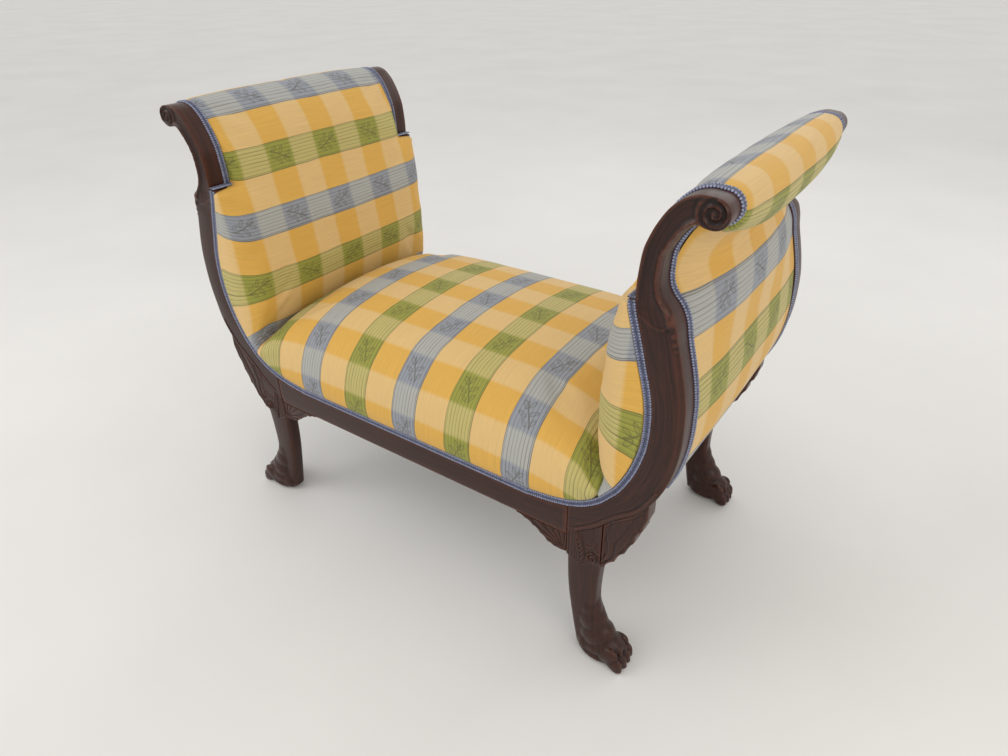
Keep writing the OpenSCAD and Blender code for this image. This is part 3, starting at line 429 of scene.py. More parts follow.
def stained_mahogany(name, sizes, tints, shift=0.0, mapped=True):
    """Mahogany, carved and stained dark, under a rubbed satin lacquer: fine dark pores run along the grain,
    broad red figure shows through, edges are rubbed lighter and hollows are darkened almost to black."""
    made, t = material(name)
    if mapped:
        uv = node(t, "UVMap", uv_map="cloth_map")
    else:
        uv = node(t, "Mapping", {"Vector": node(t, "TexCoord", out=3), "Rotation": (0, 0, math.pi / 2)})
    placed = node(t, "Mapping", {"Vector": uv, "Location": (shift, shift * 2, 0),
                                 "Scale": (1 / (sizes.grain * 22), 1 / sizes.grain, 1)})
    figure = node(t, "TexNoise", {"Vector": placed, "Scale": 1.0, "Detail": 5.0, "Roughness": 0.62, "Distortion": 0.8})
    # Pores are about 0.3 mm wide and up to 6 mm long, drawn 0.7 mm wide so that they show
    fine = node(t, "Mapping", {"Vector": uv, "Scale": (1 / 0.012, 1 / 0.0007, 1)})
    pores = node(t, "TexNoise", {"Vector": fine, "Scale": 1.0, "Detail": 2.0, "Roughness": 0.5})
    pore = node(t, "MapRange", {"Value": pores, "From Min": 0.56, "From Max": 0.72})
    shades = [(0.22, rgba(tints.wood_dark)), (0.5, rgba(tints.wood_mid)), (0.82, linear("#4C2619"))]
    body = node(t, "ValToRGB", (figure,), stops=shades)
    body = node(t, "Mix", {0: pore, 6: body, 7: rgba(tints.wood_dark)}, 2, data_type="RGBA")
    edge = node(t, "Attribute", out=2, attribute_name="relief")
    broad = node(t, "TexNoise", {"Vector": uv, "Scale": 28.0, "Detail": 3.0})
    worn = node(t, "MapRange", {"Value": edge, "From Min": 0.10, "From Max": 0.8, "To Max": 0.5})
    worn = node(t, "Math", (worn, broad), operation="MULTIPLY")
    worn = node(t, "Math", (worn, 1.5), operation="MULTIPLY", use_clamp=True)
    body = node(t, "Mix", {0: worn, 6: body, 7: rgba(tints.wood_light)}, 2, data_type="RGBA")
    # Hollows, as the relief finds them, are darkened towards near black and made duller
    hollow = node(t, "MapRange", {"Value": edge, "From Min": -0.1, "From Max": -0.8, "To Max": 0.8})
    body = node(t, "Mix", {0: hollow, 6: body, 7: linear("#0E0605")}, 2, data_type="RGBA")
    rough = node(t, "MapRange", {"Value": figure, "From Min": 0.2, "From Max": 0.8, "To Min": 0.30, "To Max": 0.46})
    duller = node(t, "Math", (hollow, 0.25), operation="MULTIPLY")
    rough = node(t, "Math", (rough, duller), operation="ADD")
    height = node(t, "Math", (figure, pore), operation="SUBTRACT")
    bumped = node(t, "Bump", {"Height": height, "Distance": 0.00012, "Strength": 0.6})
    surface = node(t, "BsdfPrincipled", {"Base Color": body, "Roughness": rough, "Normal": bumped,
                                         "Specular IOR Level": 0.22, "Coat Weight": 0.2, "Coat Roughness": 0.2})
    node(t, "OutputMaterial", {"Surface": surface})
    return made


def woven_plaid(name, sizes, tints):
    """Cotton and rayon plaid, woven with slubbed threads: bands along the depth crossed by deep and pale checks,
    dark pinstripes in the green and blue-grey bands, a small woven sprig in their deep checks, and a soft sheen."""
    made, t = material(name)
    uv = node(t, "UVMap", uv_map="cloth_map")
    # The bands wander by up to 3 mm, as a hand-pulled cloth does
    wander = node(t, "TexNoise", {"Vector": uv, "Scale": 9.0, "Detail": 2.0}, 1)
    wander = node(t, "VectorMath", {0: wander, 1: (0.5, 0.5, 0.5)}, operation="SUBTRACT")
    wander = node(t, "VectorMath", {0: wander, "Scale": 0.006}, operation="SCALE")
    uv = node(t, "VectorMath", {0: uv, 1: wander}, operation="ADD")
    u, v = (node(t, "SeparateXYZ", {"Vector": uv}, k) for k in (0, 1))
    # Whole repeats added so that no place on the cloth is negative
    repeat, check = u, v
    for kind, value in (("DIVIDE", sizes.plaid_repeat), ("ADD", WHOLE + NARROW / 2), ("FRACT", 0.0)):
        repeat = node(t, "Math", (repeat, value), operation=kind)
    for kind, value in (("DIVIDE", sizes.check_repeat), ("ADD", WHOLE + 0.25)):
        check = node(t, "Math", (check, value), operation=kind)
    phase = deep = node(t, "Math", (check,), operation="FRACT")
    # Deep checks fade into pale ones over about 8 mm, as the crossing threads mix
    for kind, value in (("SUBTRACT", 0.25), ("PINGPONG", 0.5)):
        deep = node(t, "Math", (deep, value), operation=kind)
    deep = node(t, "MapRange", {"Value": deep, "From Min": 0.278, "From Max": 0.222})
    # Blue-grey, yellow, green and yellow in turn: pale checks, deep checks, and how strong their pinstripes are
    bands = []
    for x, y, z in ([rgba(c) for c in (tints.grey, tints.cream, tints.green)],
                    [rgba(c) for c in (tints.blue, tints.gold, tints.leaf)],
                    [linear(c) for c in ("#FFFFFF", "#383838", "#FFFFFF")]):
        stops = [(0.0, x), (NARROW, y), (0.5, z), (0.5 + NARROW, y)]
        bands.append(node(t, "ValToRGB", (repeat,), stops=stops, stepped=True))
    pale, rich, striped = bands
    striped = node(t, "SeparateColor", {"Color": striped})
    body = node(t, "Mix", {0: deep, 6: pale, 7: rich}, 2, data_type="RGBA")
    across = repeat
    for kind, value in (("MODULO", 0.5), ("DIVIDE", NARROW)):
        across = node(t, "Math", (across, value), operation=kind)
    # Dark threads about 2 mm wide, none quite like the next, with fine ones between and a firm one along each side
    count = thin = node(t, "Math", (across, PINSTRIPES), operation="MULTIPLY")
    which = u
    for kind, value in (("DIVIDE", sizes.plaid_repeat * NARROW / (2 * PINSTRIPES)), ("FLOOR", 0.0)):
        which = node(t, "Math", (which, value), operation=kind)
    which = node(t, "TexWhiteNoise", {"W": which}, noise_dimensions="1D")
    which = node(t, "MapRange", {"Value": which, "To Min": 0.45})
    line = node(t, "Math", (count, 0.5), operation="PINGPONG")
    line = node(t, "MapRange", {"Value": line, "From Min": 0.33, "From Max": 0.41})
    for kind, value in (("MULTIPLY", 2.0), ("ADD", 0.25), ("PINGPONG", 0.5)):
        thin = node(t, "Math", (thin, value), operation=kind)
    thin = node(t, "MapRange", {"Value": thin, "From Min": 0.40, "From Max": 0.47, "To Max": 0.4})
    side = node(t, "Math", (across, 0.5), operation="PINGPONG")
    side = node(t, "MapRange", {"Value": side, "From Min": 0.036, "From Max": 0.018})
    # Slubs are 1.6 mm wide and 85 mm long
    streak = node(t, "Mapping", {"Vector": uv, "Scale": (1 / 0.0016, 1 / 0.085, 1)})
    streak = node(t, "TexNoise", {"Vector": streak, "Scale": 1.0, "Detail": 3.0, "Roughness": 0.6})
    uneven = node(t, "MapRange", {"Value": streak, "From Min": 0.30, "From Max": 0.62, "To Min": 0.25})
    lines = line
    for kind, value in (("MULTIPLY", which), ("MAXIMUM", thin), ("MAXIMUM", side),
                        ("MULTIPLY", uneven), ("MULTIPLY", striped), ("MULTIPLY", 0.95)):
        lines = node(t, "Math", (lines, value), operation=kind)
    dark = node(t, "Mix", {0: 0.8, 6: body, 7: rgba(tints.stripe)}, 2, data_type="RGBA")
    body = node(t, "Mix", {0: lines, 6: body, 7: dark}, 2, data_type="RGBA")
    # A sprig on a bent stem in each deep check, turned over in every other one; p and q run from -1 to 1 over it
    turn, p, q = check, across, phase
    for kind, value in (("FLOOR", 0.0), ("MODULO", 2.0), ("MULTIPLY", 2.0), ("SUBTRACT", 1.0)):
        turn = node(t, "Math", (turn, value), operation=kind)
    for kind, value in (("MULTIPLY", 2.0), ("SUBTRACT", 1.0), ("MULTIPLY", turn)):
        p = node(t, "Math", (p, value), operation=kind)
    for kind, value in (("MULTIPLY", 4.0), ("SUBTRACT", 1.0)):
        q = node(t, "Math", (q, value), operation=kind)
    bend, stem = q, p
    for kind, value in (("MULTIPLY", 1.9), ("SINE", 0.0), ("MULTIPLY", 0.34)):
        bend = node(t, "Math", (bend, value), operation=kind)
    for kind, value in (("SUBTRACT", bend), ("ABSOLUTE", 0.0)):
        stem = node(t, "Math", (stem, value), operation=kind)
    stem = node(t, "MapRange", {"Value": stem, "From Min": 0.075, "From Max": 0.035})
    ends = node(t, "Math", (q,), operation="ABSOLUTE")
    ends = node(t, "Math", (ends, 0.74), operation="LESS_THAN")
    sprig = node(t, "Math", (stem, ends), operation="MULTIPLY")
    spot = node(t, "CombineXYZ", {"X": p, "Y": q})
    for x, y, angle, long_r, wide_r in SPRIG_LEAVES:
        placed = {"Vector": spot, "Location": (x, y, 0), "Rotation": (0, 0, angle), "Scale": (long_r, wide_r, 1)}
        leaf = node(t, "Mapping", placed, vector_type="TEXTURE")
        rim = r = node(t, "VectorMath", {0: leaf}, 1, operation="LENGTH")
        fill = node(t, "MapRange", {"Value": r, "From Min": 1.1, "From Max": 0.9, "To Max": 0.25})
        for kind, value in (("SUBTRACT", 0.9), ("ABSOLUTE", 0.0)):
            rim = node(t, "Math", (rim, value), operation=kind)
        rim = node(t, "MapRange", {"Value": rim, "From Min": 0.22, "From Max": 0.08, "To Max": 0.9})
        for drawn in (fill, rim):
            sprig = node(t, "Math", (sprig, drawn), operation="MAXIMUM")
    banded = node(t, "Math", (striped, 0.5), operation="GREATER_THAN")
    for value in (deep, banded, 0.9):
        sprig = node(t, "Math", (sprig, value), operation="MULTIPLY")
    shade = node(t, "Mix", {0: 0.6, 6: body, 7: rgba(tints.stripe)}, 2, data_type="RGBA")
    body = node(t, "Mix", {0: sprig, 6: body, 7: shade}, 2, data_type="RGBA")
    # Slubs lighten and darken the cloth, and so do single warp and weft threads
    slub = node(t, "MapRange", {"Value": streak, "From Min": 0.25, "From Max": 0.75, "To Min": 0.90, "To Max": 1.08})
    threads = []
    for place in (u, v):
        for kind, value in (("MULTIPLY", math.tau / sizes.thread), ("SINE", 0.0)):
            place = node(t, "Math", (place, value), operation=kind)
        threads.append(place)
    tone = height = node(t, "Math", threads, operation="MULTIPLY")
    for kind, value in (("MULTIPLY", 0.03), ("ADD", 1.0), ("MULTIPLY", slub)):
        tone = node(t, "Math", (tone, value), operation=kind)
    tone = node(t, "CombineColor", {"Red": tone, "Green": tone, "Blue": tone})
    body = node(t, "Mix", {0: 1.0, 6: body, 7: tone}, 2, data_type="RGBA", blend_type="MULTIPLY")
    sunk = node(t, "Math", (lines, -0.6), operation="MULTIPLY")
    sunk = node(t, "Math", (streak, sunk), operation="ADD")
    for kind, value in (("MULTIPLY", 0.5), ("ADD", sunk)):
        height = node(t, "Math", (height, value), operation=kind)
    bumped = node(t, "Bump", {"Height": height, "Distance": 0.00022, "Strength": 0.7})
    surface = node(t, "BsdfPrincipled", {"Base Color": body, "Normal": bumped, "Roughness": 0.62,
                                         "Specular IOR Level": 0.3, "Sheen Weight": 0.12, "Sheen Roughness": 0.4})
    node(t, "OutputMaterial", {"Surface": surface})
    return made


def plain_cloth(name, hue, thread, streak):
    """A plain-woven cloth of coarse spun threads, dull, with thick and thin places along both threads."""
    made, t = material(name)
    uv = node(t, "TexCoord", out=3)
    waves = []
    for k in (0, 1, 2):
        wave = node(t, "SeparateXYZ", {"Vector": uv}, k)
        for kind, value in (("MULTIPLY", math.tau / thread), ("SINE", 0.0)):
            wave = node(t, "Math", (wave, value), operation=kind)
        waves.append(wave)
    spots = node(t, "TexNoise", {"Vector": uv, "Scale": 160.0, "Detail": 4.0, "Roughness": 0.6})
    tone = waves[1]
    for kind, value in (("ADD", waves[2]), ("MULTIPLY", waves[0]), ("MULTIPLY", 0.25), ("ADD", spots)):
        tone = node(t, "Math", (tone, value), operation=kind)
    low, high = (rgba(max(0.0, min(1.0, c * f)) for c in linear(hue)[:3]) for f in (1 - streak * 3, 1 + streak))
    body = node(t, "ValToRGB", (tone,), stops=[(0.25, low), (0.65, high)])
    bumped = node(t, "Bump", {"Height": tone, "Distance": thread * 0.25, "Strength": 0.8})
    surface = node(t, "BsdfPrincipled", {"Base Color": body, "Normal": bumped, "Roughness": 0.9, "Sheen Weight": 0.1})
    node(t, "OutputMaterial", {"Surface": surface})
    return made


def rayon_braid(name, tints):
    """Rayon gimp braid, woven round cotton cords: a matt slate-blue ground, with a painted highlight that makes the
    raised cords paler.
    """
    made, t = material(name)
    uv = node(t, "UVMap", uv_map="cloth_map")
    cord = node(t, "Attribute", out=2, attribute_name="cord")
    # The yarn round a cord is 0.4 mm, drawn 0.9 mm so that it shows
    twist = node(t, "Mapping", {"Vector": uv, "Rotation": (0, 0, 0.8), "Scale": (1 / 0.0009, 1 / 0.0009, 1)})
    yarn = node(t, "TexWave", {"Vector": twist, "Scale": 0.32, "Distortion": 1.2, "Detail": 1.0}, 1)
    patch = node(t, "TexNoise", {"Vector": uv, "Scale": 60.0, "Detail": 3.0})
    # Both ramps run dark where the yarn's wave is low: painted shade in the grooves of the twist
    ground = node(t, "ValToRGB", (yarn,), stops=[(0.1, linear("#23263A")), (0.8, rgba(tints.braid))])
    # The raised cords get a paler ramp than the ground: a painted highlight
    shades = [(0.1, linear("#4A4E6E")), (0.7, rgba(tints.braid_cord_highlight)), (0.95, linear("#A3A5B4"))]
    raised = node(t, "ValToRGB", (yarn,), stops=shades)
    body = node(t, "Mix", {0: cord, 6: ground, 7: raised}, 2, data_type="RGBA")
    # A dark tuft ties the cords together every 15 mm
    u, v = (node(t, "SeparateXYZ", {"Vector": uv}, k) for k in (0, 1))
    dash = stitch = u
    for kind, value in (("DIVIDE", 0.015), ("PINGPONG", 0.5)):
        dash = node(t, "Math", (dash, value), operation=kind)
    dash = node(t, "MapRange", {"Value": dash, "From Min": 0.16, "From Max": 0.06, "To Max": 0.35})
    body = node(t, "Mix", {0: dash, 6: body, 7: linear("#1F2233")}, 2, data_type="RGBA")
    # Pale stitches 4.5 mm apart run along both edges
    for kind, value in (("DIVIDE", 0.0045), ("PINGPONG", 0.5)):
        stitch = node(t, "Math", (stitch, value), operation=kind)
    stitch = node(t, "MapRange", {"Value": stitch, "From Min": 0.18, "From Max": 0.30, "To Max": 0.8})
    rim = node(t, "Math", (v,), operation="ABSOLUTE")
    rim = node(t, "MapRange", {"Value": rim, "From Min": 0.0024, "From Max": 0.0032})
    stitch = node(t, "Math", (stitch, rim), operation="MULTIPLY")
    body = node(t, "Mix", {0: stitch, 6: body, 7: linear("#A9AEC6")}, 2, data_type="RGBA")
    faded = node(t, "MapRange", {"Value": patch, "From Min": 0.3, "From Max": 0.7, "To Min": 0.85, "To Max": 1.15})
    body = node(t, "HueSaturation", {"Color": body, "Value": faded})
    bumped = node(t, "Bump", {"Height": yarn, "Distance": 0.0002, "Strength": 0.6})
    surface = node(t, "BsdfPrincipled", {"Base Color": body, "Normal": bumped, "Roughness": 0.55,
                                         "Sheen Weight": 0.4, "Sheen Roughness": 0.3})
    node(t, "OutputMaterial", {"Surface": surface})
    return made


def sawn_poplar(name):
    """Poplar, sawn and left bare inside the frame: pale, fuzzy, with faint greenish and brown grain."""
    made, t = material(name)
    place = node(t, "TexCoord", out=3)
    along = node(t, "Mapping", {"Vector": place, "Scale": (140.0, 9.0, 140.0)})
    grain = node(t, "TexNoise", {"Vector": along, "Scale": 1.0, "Detail": 5.0, "Roughness": 0.6, "Distortion": 0.5})
    shades = [(0.3, linear("#A98B5C")), (0.5, linear("#C9AE7E")), (0.7, linear("#D8C39A"))]
    body = node(t, "ValToRGB", (grain,), stops=shades)
    bumped = node(t, "Bump", {"Height": grain, "Distance": 0.0003, "Strength": 0.5})
    surface = node(t, "BsdfPrincipled", {"Base Color": body, "Normal": bumped, "Roughness": 0.8})
    node(t, "OutputMaterial", {"Surface": surface})
    return made


def drawn_steel(name):
    """Spring and screw steel, drawn and lightly oxidised: grey, satin, with fine streaks and dull spots."""
    made, t = material(name)
    place = node(t, "TexCoord", out=3)
    spots = node(t, "TexNoise", {"Vector": place, "Scale": 220.0, "Detail": 4.0, "Roughness": 0.7})
    body = node(t, "ValToRGB", (spots,), stops=[(0.3, linear("#6B6A68")), (0.6, linear("#9EA1A4"))])
    rough = node(t, "MapRange", {"Value": spots, "From Min": 0.3, "From Max": 0.7, "To Min": 0.3, "To Max": 0.55})
    bumped = node(t, "Bump", {"Height": spots, "Distance": 0.0001, "Strength": 0.4})
    surface = node(t, "BsdfPrincipled", {"Base Color": body, "Roughness": rough, "Normal": bumped, "Metallic": 1.0})
    node(t, "OutputMaterial", {"Surface": surface})
    return made


MADE = {}


def finishes():
    """Makes each material once, from the sizes and colours that are set."""
    if not MADE:
        sizes, tints = bpy.context.scene.recamier_sizes, bpy.context.scene.recamier_colours
        MADE["wood"] = stained_mahogany("stained_mahogany", sizes, tints)
        MADE["rail_wood"] = stained_mahogany("stained_mahogany_rail", sizes, tints, 0.37)
        MADE["frame_wood"] = stained_mahogany("stained_mahogany_frame", sizes, tints, 0.61, mapped=False)
        MADE["plaid"] = woven_plaid("woven_plaid", sizes, tints)
        MADE["braid"] = rayon_braid("rayon_braid", tints)
        MADE["burlap"] = plain_cloth("jute_burlap", "#B2976A", 0.0024, 0.2)
        MADE["cambric"] = plain_cloth("black_cambric", "#24221F", 0.0012, 0.12)
        MADE["webbing"] = plain_cloth("jute_webbing", "#A98E60", 0.0030, 0.2)
        MADE["poplar"] = sawn_poplar("sawn_poplar")
        MADE["steel"] = drawn_steel("drawn_steel")
    return MADE


# Carved wood
def ridge(points, line, width):
    """1 on a line, falling away softly on both sides of it."""
    return bump(nearest(points, np.asarray(line, float))[0], width)


def stile_plan():
    """Outline of a stile with its strip behind the braid, and its face line."""
    edge = FACE[:NOTCH * FINE] + FACE_N[:NOTCH * FINE] * (GIMP_W - 0.5)
    edge = edge[edge[:, 0] > BLOCK_X + 0.3]
    a0 = math.atan2(*(FACE[-1] - CURL)[::-1])
    a1 = math.atan2(*(BACK[-1] - CURL)[::-1])
    a1 = a1 - math.tau if a1 > a0 else a1
    turn = np.array([[math.cos(a), math.sin(a)] for a in np.linspace(a0, a1, 26)[1:-1]])
    start = [[BLOCK_X + 0.2, BLOCK_LOW], [BLOCK_X + 0.2, np.interp(BLOCK_X, edge[:, 0], edge[:, 1])]]
    back = BACK[BACK[:, 0] > BLOCK_X + 0.4]
    return np.vstack([start, edge, FACE[NOTCH * FINE:], CURL + CURL_R * turn, back[::-1]])


def spiral():
    """The line of the scroll's raised rim, from the top of the head into its eye."""
    out = []
    for k in range(80):
        f = k / 79
        a = math.radians(80) - f * math.radians(560)
        r = (CURL_R - 2.2) * (1 - f) ** 0.9 + 4.2 * f
        out.append(CURL + r * np.array([math.cos(a), math.sin(a)]))
    return np.array(out)


def stile_height(p, d):
    """The scroll's face is hollowed between two rims that wind into its eye; below the knuckle it is rounded."""
    depth = bpy.context.scene.recamier_sizes.carve_depth / MM
    far, place, side = nearest(p, FACE)
    row = place / FINE
    wide = np.interp(row, np.arange(len(STILE_ROWS)), STILE_W * STILE_ROWS[:, 2])
    t = np.where(side < 0, far / np.maximum(wide, 1), 0)
    scroll = ease(row, 14.1, 15.4)
    eye = np.linalg.norm(p - CURL, axis=1)
    near_eye = 1 - ease(eye, CURL_R - 1.5, CURL_R + 7)
    hollow = np.sin(math.pi * np.clip(t / 0.84, 0, 1)) ** 0.75
    h = -depth * hollow * scroll * (1 - near_eye)
    outer = FACE[12 * FINE:] - FACE_N[12 * FINE:] * (WIDE[12 * FINE:] * 0.84)[:, None]
    h += 1.5 * ridge(p, outer[int(2.3 * FINE):], 2.4) * (1 - near_eye)
    rim = FACE[NOTCH * FINE:] - FACE_N[NOTCH * FINE:] * 2.6
    h += 1.0 * ridge(p, rim, 1.9) * (1 - near_eye)
    # The side band falls away outside the outer rim, down to the knuckle
    h -= 9.0 * ease(t, 0.87, 1.02) * scroll * (1 - near_eye) * ease(row, 14.3, 15.0)
    winding = ridge(p, spiral(), 1.9)
    sunk = (1 - winding) * (1 - ease(eye, CURL_R - 2, CURL_R + 2))
    h += near_eye * (1.5 * winding - 2.4 * sunk + 2.6 * bump(eye, 3.6))
    # Knuckle and the beads of a leaf under it
    at = np.interp(14.35, np.arange(len(BACK)) / FINE, np.arange(len(BACK)))
    k = BACK[int(at)] + FACE_N[int(at)] * 6
    h += 3.0 * bump(np.linalg.norm(p - k, axis=1), 6.5)
    h -= 1.4 * bump(np.linalg.norm(p - k - [-3, -11], axis=1), 4.0) * (t > 0.4)
    for r, inset, size in ((13.72, 5.0, 3.1), (13.32, 4.4, 2.8), (13.0, 4.0, 2.4)):
        i = int(r * FINE)
        h += 1.9 * bump(np.linalg.norm(p - (BACK[i] + FACE_N[i] * inset), axis=1), size)
    # A lip where the hollow ends, and the swell below it
    lip = []
    for r, inset in ((14.9, 1), (14.2, 20), (14.0, 34)):
        i = int(r * FINE)
        lip.append(FACE[i] - FACE_N[i] * inset)
    h += 0.9 * ridge(p, smooth(lip + [k - [2, 6]], 6), 1.8)
    h += 2.1 * (1 - (2 * np.clip(t, 0, 1) - 1) ** 2) * (1 - ease(row, 13.2, 14.2)) * ease(row, 3.5, 6.5)
    h -= 3.4 * ease(t, 0.80, 1.0) ** 1.5 * (1 - ease(row, 13.0, 13.8)) * ease(row, 5.0, 7.0)
    # Moulding along the lower edge, over the leg and the leaf
    over_leg = slice(0, int(5.4 * FINE))
    low = BACK[over_leg] + FACE_N[over_leg] * 6.5
    past = low[:, 0] > BLOCK_X
    h += 1.5 * ridge(p, low[past], 2.0) - 0.9 * ridge(p, low[past] + FACE_N[over_leg][past] * 4.6, 1.6)
    return np.where((side > 0) & (row < NOTCH) & (far > 0.6), -3.0, h)


def grain_on_stile(p):
    """The grain's map on a stile: along its face line, and across."""
    far, place, side = nearest(p, FACE)
    return np.interp(place, np.arange(len(FACE)), arc(FACE)), far * -side


def build_stiles():
    """The four S-shaped stiles with their scrolls."""
    wood = finishes()["wood"]
    points, faces, uv = carve(stile_plan(), -HALF_D, -HALF_D + STILE_T, stile_height, 2.3, 2.0, 0.8, grain_on_stile)
    for corner, piece in four("carved_stile", points, faces, [wood], uv, {"relief": relief(points, faces)}, 40):
        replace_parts(piece, f"{corner}_stile") or piece


def rail_height(p, d):
    """A rail's face is slightly rounded, with its bead near the lower edge."""
    line = np.interp(np.abs(p[:, 0]), HALF_FACE[:, 0][:len(RAIL)], HALF_FACE[:, 1][:len(RAIL)])
    low = p[:, 1] - LEG_H
    h = 1.2 * np.sin(math.pi * np.clip(low / (line - LEG_H), 0, 1)) ** 0.5 - 1.2
    h -= 0.7 * bump(low - 9.0, 1.6)
    return np.where(p[:, 1] > line + 0.4, -3.0, h)


def build_rails():
    """Front and back seat rails, with a scratched bead along the lower edge."""
    wood = finishes()["rail_wood"]
    end = BLOCK_X - 0.2
    top = HALF_EDGE[HALF_EDGE[:, 0] < end - 0.3] - [0, 0.5]
    top = np.vstack([top, [[end, top[-1, 1] + 0.3]]])
    outline = np.vstack([top[::-1] * [-1, 1], top[1:], [[end, LEG_H], [-end, LEG_H]]])
    points, faces, uv = carve(outline, -HALF_D, -HALF_D + RAIL_T, rail_height, 4.2, 3.2,
                              place=lambda p: (p[:, 0], p[:, 1]))
    for side, piece in two("seat_rail_face", points, faces, [wood], uv, {"relief": relief(points, faces)}, 40, 1):
        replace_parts(piece, f"{side}_seat_rail")


# Inner and outer edge of a leg, the inner one a little straighter than in the part, as in the photograph
LEG_IN = smooth([[BLOCK_X + LEG_W * x, LEG_H * z] for x, z in
                 [(0, 0.856), (0.03, 0.66), (0.10, 0.50), (0.20, 0.36), (0.33, 0.20), (0.46, 0.06), (0.50, 0)]], 6)
LEG_OUT = smooth([[BLOCK_X + LEG_W * x, LEG_H * z] for x, z in
                  [(1.14, 0.856), (1.08, 0.70), (1.055, 0.56), (1.09, 0.46), (1.24, 0.385)]], 6)
HEEL = BLOCK_X + LEG_W * 0.80
LEG_OUT_X = BLOCK_X + LEG_W * 1.14
LEG_Y = -HALF_D + LEG_T / 2


def leg_height(p, d):
    """The shin is rounded across, with a soft ridge down its front."""
    left = np.interp(p[:, 1], LEG_IN[::-1, 1], LEG_IN[::-1, 0])
    right = np.interp(p[:, 1], LEG_OUT[::-1, 1], LEG_OUT[::-1, 0])
    t = np.clip((p[:, 0] - left) / np.maximum(right - left, 1), 0, 1)
    h = -3.4 * np.abs(2 * t - 1) ** 2.4
    return h * ease(p[:, 1], 262, 236)


def knee_height(p, d):
    """Carved head of a leg: flutes at the left, a raised tongue leaf with a vein, a volute and small sunk squares."""
    x, z = p[:, 0] - BLOCK_X, p[:, 1]
    h = np.zeros(len(p))
    flutes = (x < 20) & (z < 303)
    h += np.where(flutes, 1.3 * np.abs(np.sin(math.pi * x / 6.4)) - 0.6, 0) * ease(x, 21, 17)
    tongue = np.array([(24, 300), (26, 288), (29, 274), (31, 260), (31, 246), (30, 236)], float)
    off, place, _ = nearest(np.stack([x, z], 1), tongue)
    wide = np.interp(place, [0, 1.6, 3, 5], [8.0, 9.0, 7.5, 1.5])
    leaf = np.sqrt(np.clip(1 - (off / wide) ** 2, 0, 1))
    h += 3.4 * leaf - 1.1 * bump(off, 1.0) * (leaf > 0)
    h += 0.7 * leaf * np.sin(place * 9 + off * 0.9)
    c = np.array([54.0, 263.0])
    q = np.stack([x, z], 1) - c
    r, a = np.linalg.norm(q, axis=1), np.arctan2(q[:, 1], q[:, 0])
    volute = 1 - ease(r, 11.5, 13.0)
    h += volute * (1.8 + 1.4 * np.cos(math.tau * (r / 6.6 + a / math.tau))) + 2.2 * bump(r, 2.8)
    for cx, cz in ((45.0, 291.0), (60.0, 297.0), (64.0, 283.0)):
        box = np.maximum(np.abs(x - cx), np.abs(z - cz) * 1.1)
        h -= 2.0 * (1 - ease(box, 3.0, 4.0))
        h += 0.8 * bump(box - 5.0, 1.0)
    h += 0.6 * bump(z - (286 + 0.1 * x), 1.4) * ease(x, 36, 40)
    return h * ease(d, 0.2, 2.2) - 1.0 + 1.2 * ease(x, LEG_OUT_X - BLOCK_X - 8, LEG_OUT_X - BLOCK_X - 1)


def blob(x, y, z, rx, ry, rz, turn=0.0, n=18):
    """A stretched ball, leaning by turn in X and Z."""
    u, v = np.meshgrid(np.linspace(0, math.tau, n, endpoint=False), np.linspace(0, math.pi, n // 2 + 1)[1:-1])
    a = np.stack([rx * np.sin(v) * np.cos(u), ry * np.sin(v) * np.sin(u), rz * np.cos(v)], 2).reshape(-1, 3)
    points = np.vstack([a, [[0, 0, rz]], [[0, 0, -rz]]])
    c, s = math.cos(turn), math.sin(turn)
    points = points @ np.array([[c, 0, -s], [0, 1, 0], [s, 0, c]]) + [x, y, z]
    m = n // 2 - 1
    faces = grid_faces(m, n, ring=True, flip=True)
    top, low = m * n, m * n + 1
    faces += [[top, j, (j + 1) % n] for j in range(n)]
    faces += [[low, (m - 1) * n + (j + 1) % n, (m - 1) * n + j] for j in range(n)]
    return points, faces


def fuse(solids, voxel, rounds):
    """One skin over overlapping solids."""
    points, faces = [], []
    for p, f in solids:
        base = sum(len(q) for q in points)
        points.append(np.asarray(p, float))
        faces += [[int(v) + base for v in face] for face in f]
    mesh = bpy.data.meshes.new("fuse")
    mesh.from_pydata((np.vstack(points) * MM).tolist(), [], faces)
    work = bpy.data.objects.new("fuse", mesh)
    bpy.context.scene.collection.objects.link(work)
    remesh = work.modifiers.new("skin", "REMESH")
    remesh.mode, remesh.voxel_size, remesh.adaptivity = "VOXEL", voxel * MM, 0.0
    soft = work.modifiers.new("soft", "SMOOTH")
    soft.factor, soft.iterations = 0.5, rounds
    done = bpy.data.meshes.new_from_object(work.evaluated_get(bpy.context.evaluated_depsgraph_get()))
    out = np.array([v.co for v in done.vertices]) / MM
    quads = [list(f.vertices) for f in done.polygons]
    bpy.data.objects.remove(work)
    return out, quads


# Rounded masses of a paw: place out from the heel's line, height, half sizes and lean
PAW_BODY = [(20, 118, 25, 19, 40, -0.2), (29, 88, 30, 24, 38, -0.35), (40, 58, 38, 29, 36, -0.5),
            (50, 34, 48, 31, 30, -0.3), (22, 26, 22, 27, 30, 0.0), (48, 14, 48, 31.5, 17, 0.0)]
# And of each toe: place back from the paw's tip
PAW_TOE = [(34, 34, 25, 8.8, 18, -0.6), (19, 19, 18, 9.2, 17, -0.35), (13, 9, 13, 8.6, 10, 0.0)]
# Lower edge of the carved head, out from the block
KNEE_FOOT = [(0.4, 246), (8, 243), (20, 236), (30, 232), (42, 240), (52, 247), (64, 250)]


def paw():
    """A lion's paw: a broad instep under the shin, four soft toes side by side and a heel flush with the shin."""
    x0, y0, end = LEG_IN[-1, 0], LEG_Y, HEEL + PAW_L
    solids = [blob(x0 + x, y0, z, *rest) for x, z, *rest in PAW_BODY]
    for k in (-1.5, -0.5, 0.5, 1.5):
        y, reach = y0 + k * 15.6, -3.0 * abs(k)
        solids += [blob(end - x + reach, y, z, *rest) for x, z, *rest in PAW_TOE]
    return solids


